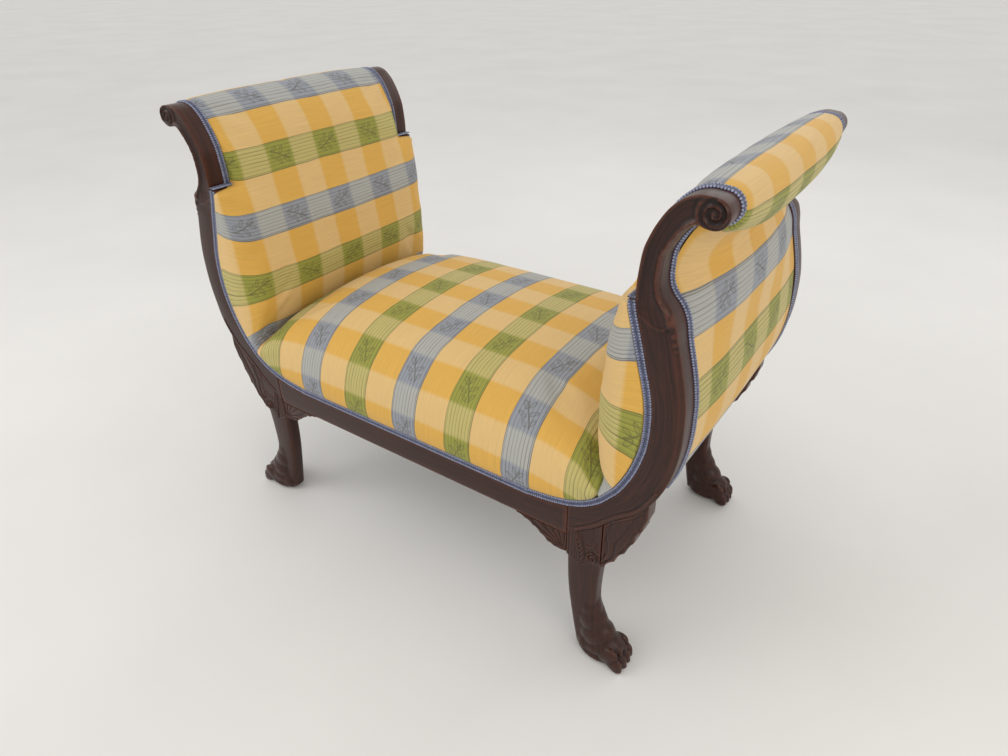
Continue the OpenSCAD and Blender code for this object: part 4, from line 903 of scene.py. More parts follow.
def build_legs():
    """The four paw-footed legs and the carved head of each."""
    made = finishes()
    top = np.array([[x, under_z(x) - 0.3] for x in np.linspace(BLOCK_X + 0.5, LEG_OUT_X - 1.0, 24)])
    outline = np.vstack([LEG_IN[:-4], [[LEG_IN[-1, 0] + 60, 30], [LEG_OUT[-1, 0] + 4, 70]], LEG_OUT[::-1],
                         [[LEG_OUT_X, under_z(LEG_OUT_X) - 0.3]], top[::-1]])
    shaft = carve(outline, -HALF_D + 0.6, -HALF_D + LEG_T + 2, leg_height, 3.2, 6.0, 6.0)
    points, faces = fuse([shaft[:2]] + paw(), 2.0, 16)
    points[:, 2] = np.maximum(points[:, 2], 0.0)
    points[:, 0] = np.clip(points[:, 0], BLOCK_X + 0.2, HEEL + PAW_L)
    points[:, 1] = np.clip(points[:, 1], LEG_Y - PAW_W / 2, LEG_Y + PAW_W / 2)
    flat = points[:, 2] < 0.9
    points[flat, 2] = 0.0
    uv = np.stack([points[:, 2] + 0.3 * points[:, 0], points[:, 0] * 0.8 + points[:, 1]], 1)
    for corner, piece in four("paw_leg", points, faces, [made["wood"]], uv, {"relief": relief(points, faces)}):
        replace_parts(piece, f"{corner}_leg")
    out = LEG_OUT_X - 0.2
    foot = [[BLOCK_X + x, z] for x, z in KNEE_FOOT]
    head = np.vstack([foot, [[out, 256], [out, under_z(LEG_OUT_X) - 0.4]], top[::-1]])
    points, faces, uv = carve(head, -HALF_D - 0.6, -HALF_D + 6.0, knee_height, 1.25, 1.2, 0.5)
    for corner, piece in four("carved_knee", points, faces, [made["wood"]], uv, {"relief": relief(points, faces)}, 40):
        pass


EAR_LINE = smooth([[BLOCK_X - 0.4 - EAR_L * x, LEG_H - EAR_H * z - 0.2] for x, z in
                   [(0, 0.96), (0.14, 1.0), (0.28, 0.94), (0.42, 0.74),
                    (0.56, 0.46), (0.74, 0.20), (0.90, 0.06), (1.0, 0.02)]], 12)
LEAF_ROWS = [(1.00, 0.86), (0.97, 0.78), (0.88, 0.68), (0.80, 0.60), (0.70, 0.47),
             (0.58, 0.36), (0.44, 0.26), (0.30, 0.16), (0.16, 0.08), (0.05, 0.0)]


def scalloped(line, inward, count, depth):
    """A line cut into rounded lobes."""
    s = arc(line) / arc(line)[-1]
    cut = depth * (1 - np.abs(np.sin(math.pi * count * s)) ** 0.6) * ease(s, 0, 0.06) * ease(s, 1, 0.94)
    return line + normals(line) * inward * cut[:, None]


def ear_height(p, d):
    """Acanthus: ribs that sweep from the rail and gather at the tip beside the leg."""
    tip = np.array([BLOCK_X - 9.0, LEG_H - EAR_H + 2])
    q = p - tip
    r, a = np.linalg.norm(q, axis=1), np.arctan2(q[:, 1], -q[:, 0])
    fan = a + 0.34 * np.sin(np.clip(r / 118, 0, 1) * math.pi)
    ribs = np.abs(np.sin(math.pi * 3.6 * fan)) ** 0.7
    h = 2.6 * ribs - 2.4
    h += 1.0 * bump(r - 6, 6) - 0.8 * bump(p[:, 1] - LEG_H, 3)
    return h * ease(d, 0, 2.0)


def leaf_height(p, d):
    """The outer leaf's ribs rise from its foot and open towards its scalloped edge."""
    q = p - [LEG_OUT_X - 14, LEAF_FOOT - 16]
    r, a = np.linalg.norm(q, axis=1), np.arctan2(q[:, 1], q[:, 0])
    fan = a + 0.18 * np.sin(np.clip(r / 95, 0, 1) * math.pi)
    h = 2.4 * np.abs(np.sin(math.pi * 5.2 * fan)) ** 0.7 - 2.2
    return (h - 1.2 * bump(d - 5.5, 1.1)) * ease(d, 0, 2.0)


def build_brackets():
    """The carved ear under each end of a rail, and the outer leaf beside each leg."""
    wood = finishes()["wood"]
    lower = scalloped(EAR_LINE, 1.0, 6, 3.2)
    lower[:, 1] = np.maximum(lower[:, 1], LEG_H - EAR_H + 0.2)
    outline = np.vstack([[[BLOCK_X - 0.5, LEG_H - 0.4]], lower, [[BLOCK_X - EAR_L + 0.6, LEG_H - 0.4]]])
    points, faces, uv = carve(outline, -HALF_D + 0.4, -HALF_D + EAR_T, ear_height, 1.7, 1.8, 1.0)
    for corner, piece in four("carved_ear", points, faces, [wood], uv, {"relief": relief(points, faces)}, 45):
        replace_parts(piece, f"{corner}_ear")
    x0 = LEG_OUT_X + 0.2
    x1 = x0 + LEAF_L
    rise = under_z(x1) - LEAF_FOOT
    lower = scalloped(smooth([[x0 + LEAF_L * x, LEAF_FOOT + rise * z] for x, z in LEAF_ROWS], 8), 1.0, 5, 3.4)
    lower = lower[lower[:, 0] > x0 + 0.5]
    top = np.array([[x, under_z(x) - 0.4] for x in np.linspace(x0 + 0.2, x1 - 0.4, 26)])
    outline = np.vstack([[[x0 + 0.2, LEAF_FOOT + 1.5]], top, lower])
    points, faces, uv = carve(outline, -HALF_D + 1.0, -HALF_D + LEG_T - 1, leaf_height, 1.7, 2.2, 2.0)
    for corner, piece in four("carved_leaf", points, faces, [wood], uv, {"relief": relief(points, faces)}, 45):
        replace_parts(piece, f"{corner}_leaf")


# Upholstery
def outward(points, faces):
    """Turns every face round if the closed form is inside out."""
    p = np.asarray(points, float)
    tri = np.array([[f[0], f[i], f[i + 1]] for f in faces for i in range(1, len(f) - 1)])
    volume = np.einsum("ij,ij->i", p[tri[:, 0]], np.cross(p[tri[:, 1]], p[tri[:, 2]])).sum()
    return faces if volume > 0 else [f[::-1] for f in faces]


def shell(skin, lining):
    """A closed form from a grid of points on its outside and a plain strip of two lines on its inside."""
    rows, cols = skin.shape[:2]
    points = np.vstack([skin.reshape(-1, 3), lining.reshape(-1, 3)])
    faces = grid_faces(rows, cols)
    a = rows * cols
    for i in range(rows - 1):
        p, q = i * cols, (i + 1) * cols
        low, high = a + 2 * i, a + 2 * i + 2
        faces += [[high, high + 1, low + 1, low], [p, q, high, low], [p + cols - 1, low + 1, high + 1, q + cols - 1]]
    last, end = (rows - 1) * cols, a + 2 * (rows - 1)
    faces.append([a] + list(range(cols)) + [a + 1])
    faces.append(([end] + list(range(last, last + cols)) + [end + 1])[::-1])
    return points, faces


def across(half, depth, step, power):
    """Places from one side of a pad to the other, closer together where its sides turn down."""
    v = 1 - (1 - np.linspace(0, 1, 3000)) ** 2
    s = arc(np.stack([half * v, depth * np.sqrt(1 - v ** power)], 1))
    side = np.interp(np.linspace(0, s[-1], int(round(s[-1] / step)) + 1), s, v)
    return np.concatenate([-side[:0:-1], side])


# Waves of a hand-stuffed pad: for each millimetre along and across, and phase
SWELLS = [(1 / 310, 1 / 420, 0.4), (1 / 170, -1 / 205, 2.1), (-1 / 118, 1 / 96, 4.0), (1 / 71, 1 / 83, 1.3),
          (1 / 49, -1 / 58, 5.2)]


def cloth_noise(a, b):
    """Slow unevenness of hand-stuffed padding, from -1 to 1."""
    total = 0
    for k, (fa, fb, phase) in enumerate(SWELLS):
        total = total + np.sin(math.tau * (fa * a + fb * b) + phase) / (1 + 0.55 * k)
    return total / 3.0


# The roll's underside, its cove and the outer panel: the wood, the cloth beside a stile, and the cloth midway
UNDER = np.array([
    [583.2, 902.9, 586, 892, 594, 866], [570, 903, 571, 889, 578, 858], [558, 902, 557, 887, 567, 851],
    [547, 897, 545, 882, 560, 844.5], [535, 880, 533.5, 868, 555, 837], [524, 858, 523.5, 849, 551.5, 829],
    [517, 838, 518, 832, 550, 820], [514.5, 816, 517, 814, 553, 805], [535, 781, 537, 782, 564, 783],
    [547, 759, 549, 760, 569, 760], [552, 734.5, 554, 735, 572, 735], [558, 710.5, 560, 711, 573, 711],
    [569, 666.5, 571, 667, 574, 667], [577, 602, 579, 602, 586, 602], [576, 549, 578, 549, 585, 549],
    [568, 503.5, 570, 503, 574, 503], [558, 470.5, 560, 470, 562, 470], [545, 445.5, 547, 445, 548, 445]], float)


# Spacing of the arm pad's points before its one round of subdivision
ARM_STEP = 8.5


def arm_rows():
    """Rows of the arm's cloth, from the seat over the roll to its lower edge outside: for each its wood line,
    its cloth beside a stile and midway, half its width, how square its sides are and how its crown falls."""
    rows = []
    for k in range(23, NOTCH * FINE + 101):
        r = k / FINE
        wide = 1 - float(ease(r, 15.62, 16.08))
        roll = float(ease(r, 17.5, 21.0))
        edge = 0.3 + (GIMP_W - 0.1) * wide
        wood = FACE[k] + FACE_N[k] * edge
        full = max(PAD[k] * (1 - 0.22 * roll) - edge, 0)
        crown = 0.10 * (1 - float(ease(r, 15.0, 17.0))) + 0.62 * roll
        half = (BAR_HALF - 0.3) + (HALF_D - BAR_HALF + 0.3) * wide
        beside, middle = wood + FACE_N[k] * full * (1 - crown), wood + FACE_N[k] * full
        # Where the cloth narrows to pass between the stiles, 60 mm more length gives it rows of its own
        more = 60 * float(ease(r, 15.5, 16.2))
        rows.append([*wood, *beside, *middle, half, 22 + 18 * (1 - wide), 2.0 + roll, more])
    start = math.degrees(math.atan2(*(FACE[-1] - CURL)[::-1]))
    turns = np.linspace(start, -75, 30)[1:-1]
    shares = np.interp(turns, [-75, -45, 0, 45, 90], [0.31, 0.20, 0.10, 0.082, 0.082])
    for a, share in zip(turns, shares):
        u = np.array([math.cos(math.radians(a)), math.sin(math.radians(a))])
        wood, beside, middle = (CURL + u * (CURL_R + out) for out in (0.3, 0.36 * PAD_T * share, PAD_T * share))
        rows.append([*wood, *beside, *middle, BAR_HALF - 0.3, 40, 3.0, 60])
    for row in smooth(UNDER, 8):
        rows.append([*row, BAR_HALF - 0.3, 40, 3.0, 60])
    rows = np.array(rows)
    s = arc(rows[:, 4:6] * 0.5 + rows[:, 2:4] * 0.5) + rows[:, 9]
    n = int(round(s[-1] / ARM_STEP)) + 1
    t = np.linspace(0, s[-1], n)
    return np.stack([np.interp(t, s, rows[:, k]) for k in range(9)], 1)


# Length of the pad from the roll's top, inner side positive, and the length of cloth that reaches it
ARM_BANDS = np.array([[-620, -612], [-435, -439], [-359, -371], [-300, -304], [-232, -241], [-110, -152], [-63, -105],
                      [-5, -31], [70, 31], [139, 99], [205, 166], [265, 231], [325, 296], [409, 378], [467, 439],
                      [620, 592]], float)
# How far the cloth's checks have crept along the arm there
ARM_CHECKS = np.array([[-450, -42], [-376, -34], [-266, -15], [-10, 3], [175, 4], [305, -7], [460, -7]], float)


def arm_form():
    """The arm pad's points and faces, and where each point lies on the cloth."""
    rows = arm_rows()
    v = across(HALF_D, 104, ARM_STEP, 22)
    wood, beside, middle = rows[:, None, 0:2], rows[:, None, 2:4], rows[:, None, 4:6]
    half, power, fall = rows[:, 6:7], rows[:, 7:8], rows[:, 8:9]
    a = np.abs(v)[None, :]
    crown = (a ** fall)[..., None]
    full = middle * (1 - crown) + beside * crown
    square = np.sqrt(np.maximum(1 - a ** power, 0))[..., None]
    xz = wood + (full - wood) * square
    y = v[None, :] * half
    skin = np.stack([xz[..., 0], y, xz[..., 1]], 2)
    along = np.concatenate([[0], np.cumsum(np.linalg.norm(np.diff(xz[:, int(len(v) * 0.8)], axis=0), axis=1))])
    top = int(np.argmax(xz[:, int(len(v) * 0.8), 1]))
    u = np.repeat((along[top] - along)[:, None], len(v), 1)
    # Slow unevenness, and small pulls between the tacks along the braid
    deep = np.linalg.norm(full - wood, axis=2)
    direction = (full - wood) / np.maximum(deep, 1e-6)[..., None]
    lift = 0.9 * cloth_noise(u, y) * square[..., 0] * np.clip(deep / 14, 0, 1)
    from_edge = (1 - a) * half
    lift -= 0.9 * bump(from_edge, 9.0) * (0.5 + 0.5 * np.cos(math.tau * u / 27.0)) * (deep > 20) * square[..., 0]
    skin[..., 0] += direction[..., 0] * lift
    skin[..., 2] += direction[..., 1] * lift
    gap = np.linalg.norm(np.diff(skin, axis=1), axis=2)
    w = np.concatenate([np.zeros((len(rows), 1)), np.cumsum(gap, axis=1)], 1)
    w -= w[:, len(v) // 2][:, None]
    inner = np.stack([np.stack([rows[:, 0], side * rows[:, 6], rows[:, 1]], 1) for side in (-1, 1)], 1)
    step = np.gradient(rows[:, 0:2], axis=0)
    inward = np.stack([-step[:, 1], step[:, 0]], 1) / np.maximum(np.linalg.norm(step, axis=1), 1e-9)[:, None]
    inner[:, :, 0] -= inward[:, None, 0] * 1.6
    inner[:, :, 2] -= inward[:, None, 1] * 1.6
    points, faces = shell(skin, inner)
    # The checks hang straight down the outer panel
    w = y + (w - y) * ease(u, -100, -40)
    laid = np.stack([np.interp(u, *ARM_BANDS.T), w - np.interp(u, *ARM_CHECKS.T)], 2)
    uv = np.vstack([laid.reshape(-1, 2), np.zeros((2 * len(rows), 2))])
    return points, faces, uv, skin.shape[:2]


# Section of the seat, as shares of its half depth and height, and how it drops along its length, as in the part
SEAT_SECTION = np.array([[-1.000, 0.00], [-1.020, 0.10], [-1.030, 0.23], [-1.010, 0.40], [-0.955, 0.60],
                         [-0.860, 0.745], [-0.720, 0.860], [-0.560, 0.925], [-0.380, 0.965], [-0.190, 0.991],
                         [0.000, 1.000]])
SEAT_DROP = np.array([[0, 0], [0.20, 0.002], [0.40, 0.012], [0.56, 0.043], [0.66, 0.085], [0.75, 0.145],
                      [0.84, 0.26], [0.91, 0.43], [0.96, 0.80], [1, 1]])
SEAT_STEP = 10.0
# The seat's top is level to here each way, and rounds down over 14 mm at its ends
SEAT_FLAT, SEAT_ROUND = 434.0, 14


def seat_form():
    """The seat pad: crowned across, dipping to the arms, its front swelling out over the braid."""
    half = smooth(SEAT_SECTION, 20)
    whole = np.vstack([half, half[-2::-1] * [-1, 1]])
    s = arc(whole * [HALF_D, 180])
    n = int(round(s[-1] / SEAT_STEP / 2)) * 2 + 1
    even = np.linspace(0, s[-1], n)
    section = np.stack([np.interp(even, s, whole[:, k]) for k in (0, 1)], 1)
    xs = list(np.linspace(-SEAT_FLAT, SEAT_FLAT, int(round(2 * SEAT_FLAT / SEAT_STEP)) + 1))
    turn = [SEAT_FLAT + SEAT_ROUND * math.sin(a) for a in np.linspace(0, math.pi / 2, 5)[1:]]
    xs = np.array([-x for x in turn[::-1]] + xs + turn)
    drop = smooth(SEAT_DROP, 12)
    rows = []
    for x in xs:
        t = min(max((abs(x) - SEAT_FLAT) / SEAT_ROUND, 0), 1)
        inset = SEAT_ROUND * (1 - math.sqrt(max(1 - t * t, 0)))
        low = edge_z(x) + 0.3
        top = CROWN_Z - SEAT_DIP * np.interp(abs(x) / SEAT_HALF, drop[:, 0], drop[:, 1]) - inset
        rows.append(np.stack([np.full(n, x), (HALF_D - inset) * section[:, 0], low + (top - low) * section[:, 1]], 1))
    skin = np.array(rows)
    w = np.concatenate([np.zeros((len(xs), 1)), np.cumsum(np.linalg.norm(np.diff(skin, axis=1), axis=2), axis=1)], 1)
    w -= w[:, n // 2][:, None]
    u = np.repeat(xs[:, None], n, 1)
    # The cloth's middle band lies 9.5 mm to the right of the seat's middle, and its checks 12 mm to the back
    laid = np.stack([u - 9.5, w * 1.035 + 12], 2)
    # Small pulls between the tacks along the braid
    low_share = section[None, :, 1]
    pull = 1.1 * bump(low_share, 0.16) * (0.5 + 0.5 * np.cos(math.tau * u / 29.0)) * ease(low_share, 0.0, 0.05)
    skin[..., 1] += pull * np.sign(-skin[..., 1])
    skin[..., 2] += 1.0 * cloth_noise(u * 0.9, skin[..., 1]) * ease(low_share, 0.5, 1.0)
    lining = skin[:, [0, -1]]
    lining[:, 0, 1] += 3
    lining[:, 1, 1] -= 3
    points, faces = shell(skin, lining)
    uv = np.vstack([laid.reshape(-1, 2), np.zeros((2 * len(xs), 2))])
    return points, faces, uv, skin.shape[:2]


def tacked(rows, cols, count, first, last, sides):
    """The points of a pad that its tacks hold: so many first and last rows, columns at its sides, and its lining."""
    at = np.arange(rows * cols).reshape(rows, cols)
    held = (at[:first], at[-last:], at[:, :sides], at[:, -sides:], np.arange(rows * cols, count))
    return np.unique(np.concatenate([part.ravel() for part in held]))


# Frames over which the padding settles
SETTLE = 20


def stuff(piece, pinned, pressure, most):
    """Lets the cover swell and settle over its stuffing as cloth, moving no point more than most."""
    mesh = piece.data
    before = np.zeros(len(mesh.vertices) * 3, np.float32)
    mesh.vertices.foreach_get("co", before)
    before = before.reshape(-1, 3)
    group = piece.vertex_groups.new(name="tacked")
    group.add([int(i) for i in pinned], 1.0, "REPLACE")
    cloth = piece.modifiers.new("stuffing", "CLOTH")
    setting = cloth.settings
    setting.quality = 5
    setting.mass = 0.3
    setting.tension_stiffness = setting.compression_stiffness = 18
    setting.shear_stiffness = 6
    setting.bending_stiffness = 1.5
    setting.use_pressure = True
    setting.uniform_pressure_force = pressure
    setting.effector_weights.gravity = 0
    setting.vertex_group_mass = "tacked"
    cloth.collision_settings.use_collision = False
    cloth.point_cache.frame_start, cloth.point_cache.frame_end = 1, SETTLE
    scene = bpy.context.scene
    for f in range(1, SETTLE + 1):
        scene.frame_set(f)
    posed = piece.evaluated_get(bpy.context.evaluated_depsgraph_get())
    after = np.zeros(len(mesh.vertices) * 3, np.float32)
    posed.data.vertices.foreach_get("co", after)
    after = after.reshape(-1, 3)
    move = after - before
    far = np.linalg.norm(move, axis=1)
    move *= np.minimum(1, most / np.maximum(far, 1e-9))[:, None]
    piece.modifiers.remove(cloth)
    piece.vertex_groups.remove(group)
    scene.frame_set(1)
    mesh.vertices.foreach_set("co", (before + move).astype(np.float32).ravel())
    mesh.update()


def refine(piece):
    """One round of subdivision, kept in the mesh."""
    cut = piece.modifiers.new("refine", "SUBSURF")
    cut.levels = cut.render_levels = 1
    cut.boundary_smooth = "PRESERVE_CORNERS"
    done = bpy.data.meshes.new_from_object(piece.evaluated_get(bpy.context.evaluated_depsgraph_get()))
    piece.modifiers.remove(cut)
    piece.data = done
    done.polygons.foreach_set("use_smooth", [True] * len(done.polygons))


def build_arms():
    """Both arms: one closed pad each, from the seat over the roll and down the outer panel."""
    cloth = finishes()["plaid"]
    points, faces, uv, (rows, cols) = arm_form()
    faces = outward(points, faces)
    edge = tacked(rows, cols, len(points), 3, 2, 3)
    for side, piece in two("arm_pad", points, faces, [cloth], uv):
        if side == "right":
            # This arm's cloth was cut about a third of a check further along on its inner side
            spots = np.zeros(2 * len(piece.data.loops), np.float32)
            piece.data.uv_layers["cloth_map"].data.foreach_get("uv", spots)
            spots = spots.reshape(-1, 2)
            spots[:, 1] -= 0.042 * ease(spots[:, 0], 0.06, 0.16)
            piece.data.uv_layers["cloth_map"].data.foreach_set("uv", spots.astype(np.float32).ravel())
        stuff(piece, edge, 3.0, 0.004)
        refine(piece)
        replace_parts(piece, f"{side}_arm_cover", f"{side}_arm_stuffing", f"{side}_outer_cover", f"{side}_outer_wadding")


def build_seat():
    """The seat pad."""
    cloth = finishes()["plaid"]
    points, faces, uv, (rows, cols) = seat_form()
    piece = make("seat_pad", points, outward(points, faces), [cloth], uv)
    edge = tacked(rows, cols, len(points), 2, 2, 2)
    stuff(piece, edge, 4.0, 0.006)
    refine(piece)
    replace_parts(piece, "seat_cover", "seat_stuffing")


# Braid
def braid_strip(path, out, side, wide=GIMP_W - 0.3, high=3.9):
    """A braid on a line: a scalloped ground with a raised cord along each edge and two crossing cords between."""
    pitch = bpy.context.scene.recamier_sizes.scallop / MM
    s = arc(path)
    n = int(round(s[-1] / (pitch / 4))) + 1
    t = np.linspace(0, s[-1], n)
    path, out, side = (np.stack([np.interp(t, s, q[:, k]) for k in range(3)], 1) for q in (path, out, side))
    w = np.linspace(-1, 1, 13)
    edge = wide / 2 * (1 - 0.07 * (1 - np.abs(np.sin(math.pi * t / pitch))))
    waver = 0.34 * np.sin(math.pi * t / pitch)
    outer = bump(np.abs(w)[None, :] - 0.80, 0.15) * (0.72 + 0.28 * np.abs(np.sin(math.pi * t / pitch)))[:, None]
    cross = np.maximum(bump(w[None, :] - waver[:, None], 0.13), bump(w[None, :] + waver[:, None], 0.13)) * 0.85
    cord = np.maximum(outer, cross)
    height = high * (0.42 + 0.58 * cord) * np.sqrt(np.clip(1 - np.abs(w) ** 14, 0.15, 1))[None, :]
    top = path[:, None] + side[:, None] * (w[None, :] * edge[:, None])[..., None] + out[:, None] * height[..., None]
    low = [path + side * (k * edge)[:, None] for k in (1, -1)]
    ring = np.concatenate([top, low[0][:, None], low[1][:, None]], 1)
    m = ring.shape[1]
    faces = grid_faces(n, m, ring=True)
    faces += [list(range(m)), [(n - 1) * m + j for j in range(m)][::-1]]
    points = ring.reshape(-1, 3)
    uv = np.stack([np.repeat(t, m), np.tile(np.concatenate([w * wide / 2, [wide / 2, -wide / 2]]), n)], 1)
    # Where the cords stand up; the braid's material paints these places paler, a painted highlight
    cords = np.concatenate([cord, np.zeros((n, 2))], 1).ravel()
    return points, outward(points, faces), uv, cords


def gather(strips):
    """Several strips as one piece."""
    points, faces, uv, cords = [], [], [], []
    for p, f, m, c in strips:
        base = sum(len(q) for q in points)
        faces += [[v + base for v in face] for face in f]
        points.append(p)
        uv.append(m)
        cords.append(c)
    return np.vstack(points), faces, np.vstack(uv), np.concatenate(cords)


def lifted(xz, y):
    """Points in X and Z set at a place along Y."""
    return np.stack([xz[:, 0], np.full(len(xz), y) if np.isscalar(y) else y, xz[:, 1]], 1)


def build_braid():
    """The braid over every edge of the cloth."""
    braid = finishes()["braid"]
    n = normals(HALF_FACE)
    half = HALF_FACE + n * (GIMP_W / 2)
    line = np.vstack([half[:0:-1] * [-1, 1], half])
    across_n = np.vstack([n[:0:-1] * [-1, 1], n])
    m = len(line)
    strip = braid_strip(lifted(line, -HALF_D + 2.7), np.tile([0.0, -1.0, 0.0], (m, 1)), lifted(across_n, 0.0))
    for side, piece in two("long_braid", *strip[:2], [braid], strip[2], {"cord": strip[3]}, None, 1):
        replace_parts(piece, f"{side}_gimp")
    first = NOTCH * FINE
    low = 5 * FINE
    angles = np.radians(np.arange(80, -81, -5))
    turn = np.stack([np.cos(angles), np.sin(angles)], 1)
    down = slice(len(BACK) - 1, low - 1, -1)
    xz = np.vstack([FACE[first:] + FACE_N[first:] * 0.2, CURL + (CURL_R + 0.2) * turn, BACK[down] - FACE_N[down] * 0.2])
    away = np.vstack([FACE_N[first:], turn, -FACE_N[down]])
    y = -HALF_D + STILE_T - GIMP_W / 2 - 0.1
    roll = braid_strip(lifted(xz, y), lifted(away, 0.0), np.tile([0.0, 1.0, 0.0], (len(xz), 1)), high=3.6)
    at = FACE[first]
    ys = np.linspace(-HALF_D + 0.3, -HALF_D + STILE_T - 0.6, 12)
    step = braid_strip(np.stack([np.full(12, at[0] - GIMP_W / 2), ys, np.full(12, at[1] + 0.2)], 1),
                       np.tile([0.0, 0.0, 1.0], (12, 1)), np.tile([1.0, 0.0, 0.0], (12, 1)), high=3.4)
    points, faces, uv, cords = gather([roll, step])
    for corner, piece in four("roll_braid", points, faces, [braid], uv, {"cord": cords}):
        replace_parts(piece, f"{corner}_roll_gimp")
    k = int(4.62 * FINE)
    ys = np.linspace(-BAR_HALF + 0.3, BAR_HALF - 0.3, 120)
    along = np.stack([FACE_N[k][1], -FACE_N[k][0]])
    hem = braid_strip(np.stack([np.full(120, BACK[k][0]), ys, np.full(120, BACK[k][1])], 1),
                      np.tile([-FACE_N[k][0], 0.0, -FACE_N[k][1]], (120, 1)),
                      np.tile([along[0], 0.0, along[1]], (120, 1)), high=3.6)
    for side, piece in two("hem_braid", *hem[:2], [braid], hem[2], {"cord": hem[3]}):
        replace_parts(piece, f"{side}_hem_gimp")


# Backing
def flat_sheet(x0, x1, y0, y1, step=14.0):
    """Points and faces of a cloth with its four corners cut away for the frame's blocks."""
    def marks(inner, outer):
        """Even places out to inner, and more out to outer."""
        a = np.linspace(-inner, inner, int(2 * inner / step) + 1)
        b = np.linspace(inner, outer, max(2, int((outer - inner) / step) + 1))[1:]
        return np.concatenate([-b[::-1], a, b])
    xs, ys = marks(x0, x1), marks(y0, y1)
    points = np.array([[x, y, 0.0] for x in xs for y in ys])
    faces = []
    for i in range(len(xs) - 1):
        for j in range(len(ys) - 1):
            if not (max(abs(xs[i]), abs(xs[i + 1])) > x0 + 1e-6 and max(abs(ys[j]), abs(ys[j + 1])) > y0 + 1e-6):
                faces.append([i * len(ys) + j, (i + 1) * len(ys) + j, (i + 1) * len(ys) + j + 1, i * len(ys) + j + 1])
    used = sorted({v for f in faces for v in f})
    index = {v: i for i, v in enumerate(used)}
    return points[used], [[index[v] for v in f] for f in faces]


def strip_sheet(xz, half, name, cloth, node_names):
    """A cloth stretched between two stiles along a line."""
    xz = evenly(xz, 14.0)
    ys = np.linspace(-half, half, 37)
    points = np.array([[x, y, z] for x, z in xz for y in ys])
    for side, piece in two(name, points, grid_faces(len(xz), 37), [cloth], np.zeros((len(points), 2))):
        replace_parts(piece, f"{side}_{node_names}")


def strap(start, end, crossed, rise, width=50.0, thick=1.4, n=90):
    """A woven strap between two points, that rises or dips at the places where it is crossed."""
    start, end = np.array(start), np.array(end)
    t = np.linspace(0, 1, n)
    mid = start + (end - start) * t[:, None]
    along = int(np.argmax(np.abs(end - start)))
    mid[:, 2] += rise * sum(bump(mid[:, along] - c, 30) for c in crossed)
    side = np.cross(end - start, [0, 0, 1.0])
    side /= np.linalg.norm(side)
    cols = np.array([-1, -0.92, -0.5, 0, 0.5, 0.92, 1])
    up = np.array([0, 0, 1]) * (thick / 2 * np.clip(1.25 - np.abs(cols) ** 8, 0.25, 1))[None, :, None]
    top = mid[:, None] + side * (cols * width / 2)[None, :, None] + up
    low = mid[:, None] + side * (cols[::-1] * width / 2)[None, :, None] - up
    ring = np.concatenate([top, low], 1)
    m = ring.shape[1]
    faces = grid_faces(n, m, ring=True) + [list(range(m)), [(n - 1) * m + j for j in range(m)][::-1]]
    points = ring.reshape(-1, 3)
    return points, outward(points, faces), np.zeros((len(points), 2)), np.zeros(len(points))


# Middle lines of the straps that run from front to back, and of those that run from end to end
CROSS_X = [(k - 2.5) * 118.0 for k in range(6)]
LONG_Y = [(k - 1.5) * 108.0 for k in range(4)]


def build_backing():
    """The black dust cloth, woven straps and burlap under the seat, and the cloths inside the arms."""
    made = finishes()
    points, faces = flat_sheet(390.0, 426.5, 253.5, 282.5)
    x, y = points[:, 0] / 427, points[:, 1] / 283
    # It hangs about 4 mm in the middle, and is drawn up at the tacks round its edge
    points[:, 2] = 286.6 - 4.0 * (1 - x ** 4) * (1 - y ** 2)
    points[:, 2] += 0.5 * np.sin(points[:, 0] / 9.5) * bump(1 - np.abs(y), 0.06)
    points[:, 2] += 0.3 * cloth_noise(points[:, 0] * 2, points[:, 1] * 2)
    piece = make("dust_cover", points, [f[::-1] for f in faces], [made["cambric"]], points[:, :2])
    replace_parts(piece, "dust_cloth")
    points, faces = flat_sheet(273.5, 426.5, 253.5, 300.5)
    points[:, 2] = 361.0
    piece = make("seat_backing", points, faces, [made["burlap"]], points[:, :2])
    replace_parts(piece, "seat_burlap")
    straps = []
    for i, x in enumerate(CROSS_X):
        crossed = [LONG_Y[k] for k in range(4) if (k + i) % 2]
        straps.append(strap([x, -284.0, 291.2], [x, 284.0, 291.2], crossed, -0.55))
    for k, y in enumerate(LONG_Y):
        crossed = [CROSS_X[i] for i in range(6) if (k + i) % 2]
        straps.append(strap([-427.0, y, 289.5], [427.0, y, 289.5], crossed, 0.5))
    points, faces, uv, _ = gather(straps)
    piece = make("woven_straps", points, faces, [made["webbing"]], uv)
    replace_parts(piece, "seat_webbing")
    a, b, c = 3 * FINE + 3, NOTCH * FINE - 4, (NECK + 2) * FINE
    step = NOTCH * FINE
    inner = np.vstack([FACE[a:b] + FACE_N[a:b] * (GIMP_W - 0.8), FACE[step] - FACE_N[step] * 0.8 - [0, 4],
                       FACE[step + 3:c] - FACE_N[step + 3:c] * 0.8])
    strip_sheet(inner, BAR_HALF - 0.4, "arm_backing", made["burlap"], "arm_burlap")
    a, b = 5 * FINE + 5, 19 * FINE
    outer = BACK[a:b] + FACE_N[a:b] * (CLOTH_T + 0.9)
    strip_sheet(outer, BAR_HALF - 0.4, "outer_backing", made["burlap"], "outer_lining")


def finish_frame():
    """Bare and stained wood, and steel, on the parts of the frame that keep their own shape."""
    made = finishes()
    sides = ("left", "right")
    kept = {"poplar": ["seat_centre_brace", "corner_blocks", "leg_dowels"]
            + [f"{s}_{n}" for s in sides for n in ("roll_rail", "arm_slat", "tacking_rail")],
            "frame_wood": [f"{s}_{n}" for s in sides for n in ("end_rail", "outer_rail")],
            "steel": ["corner_screws", "seat_springs"]}
    for key, names in kept.items():
        for name in names:
            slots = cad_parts[name].data.materials
            for i in range(len(slots)):
                slots[i] = made[key]


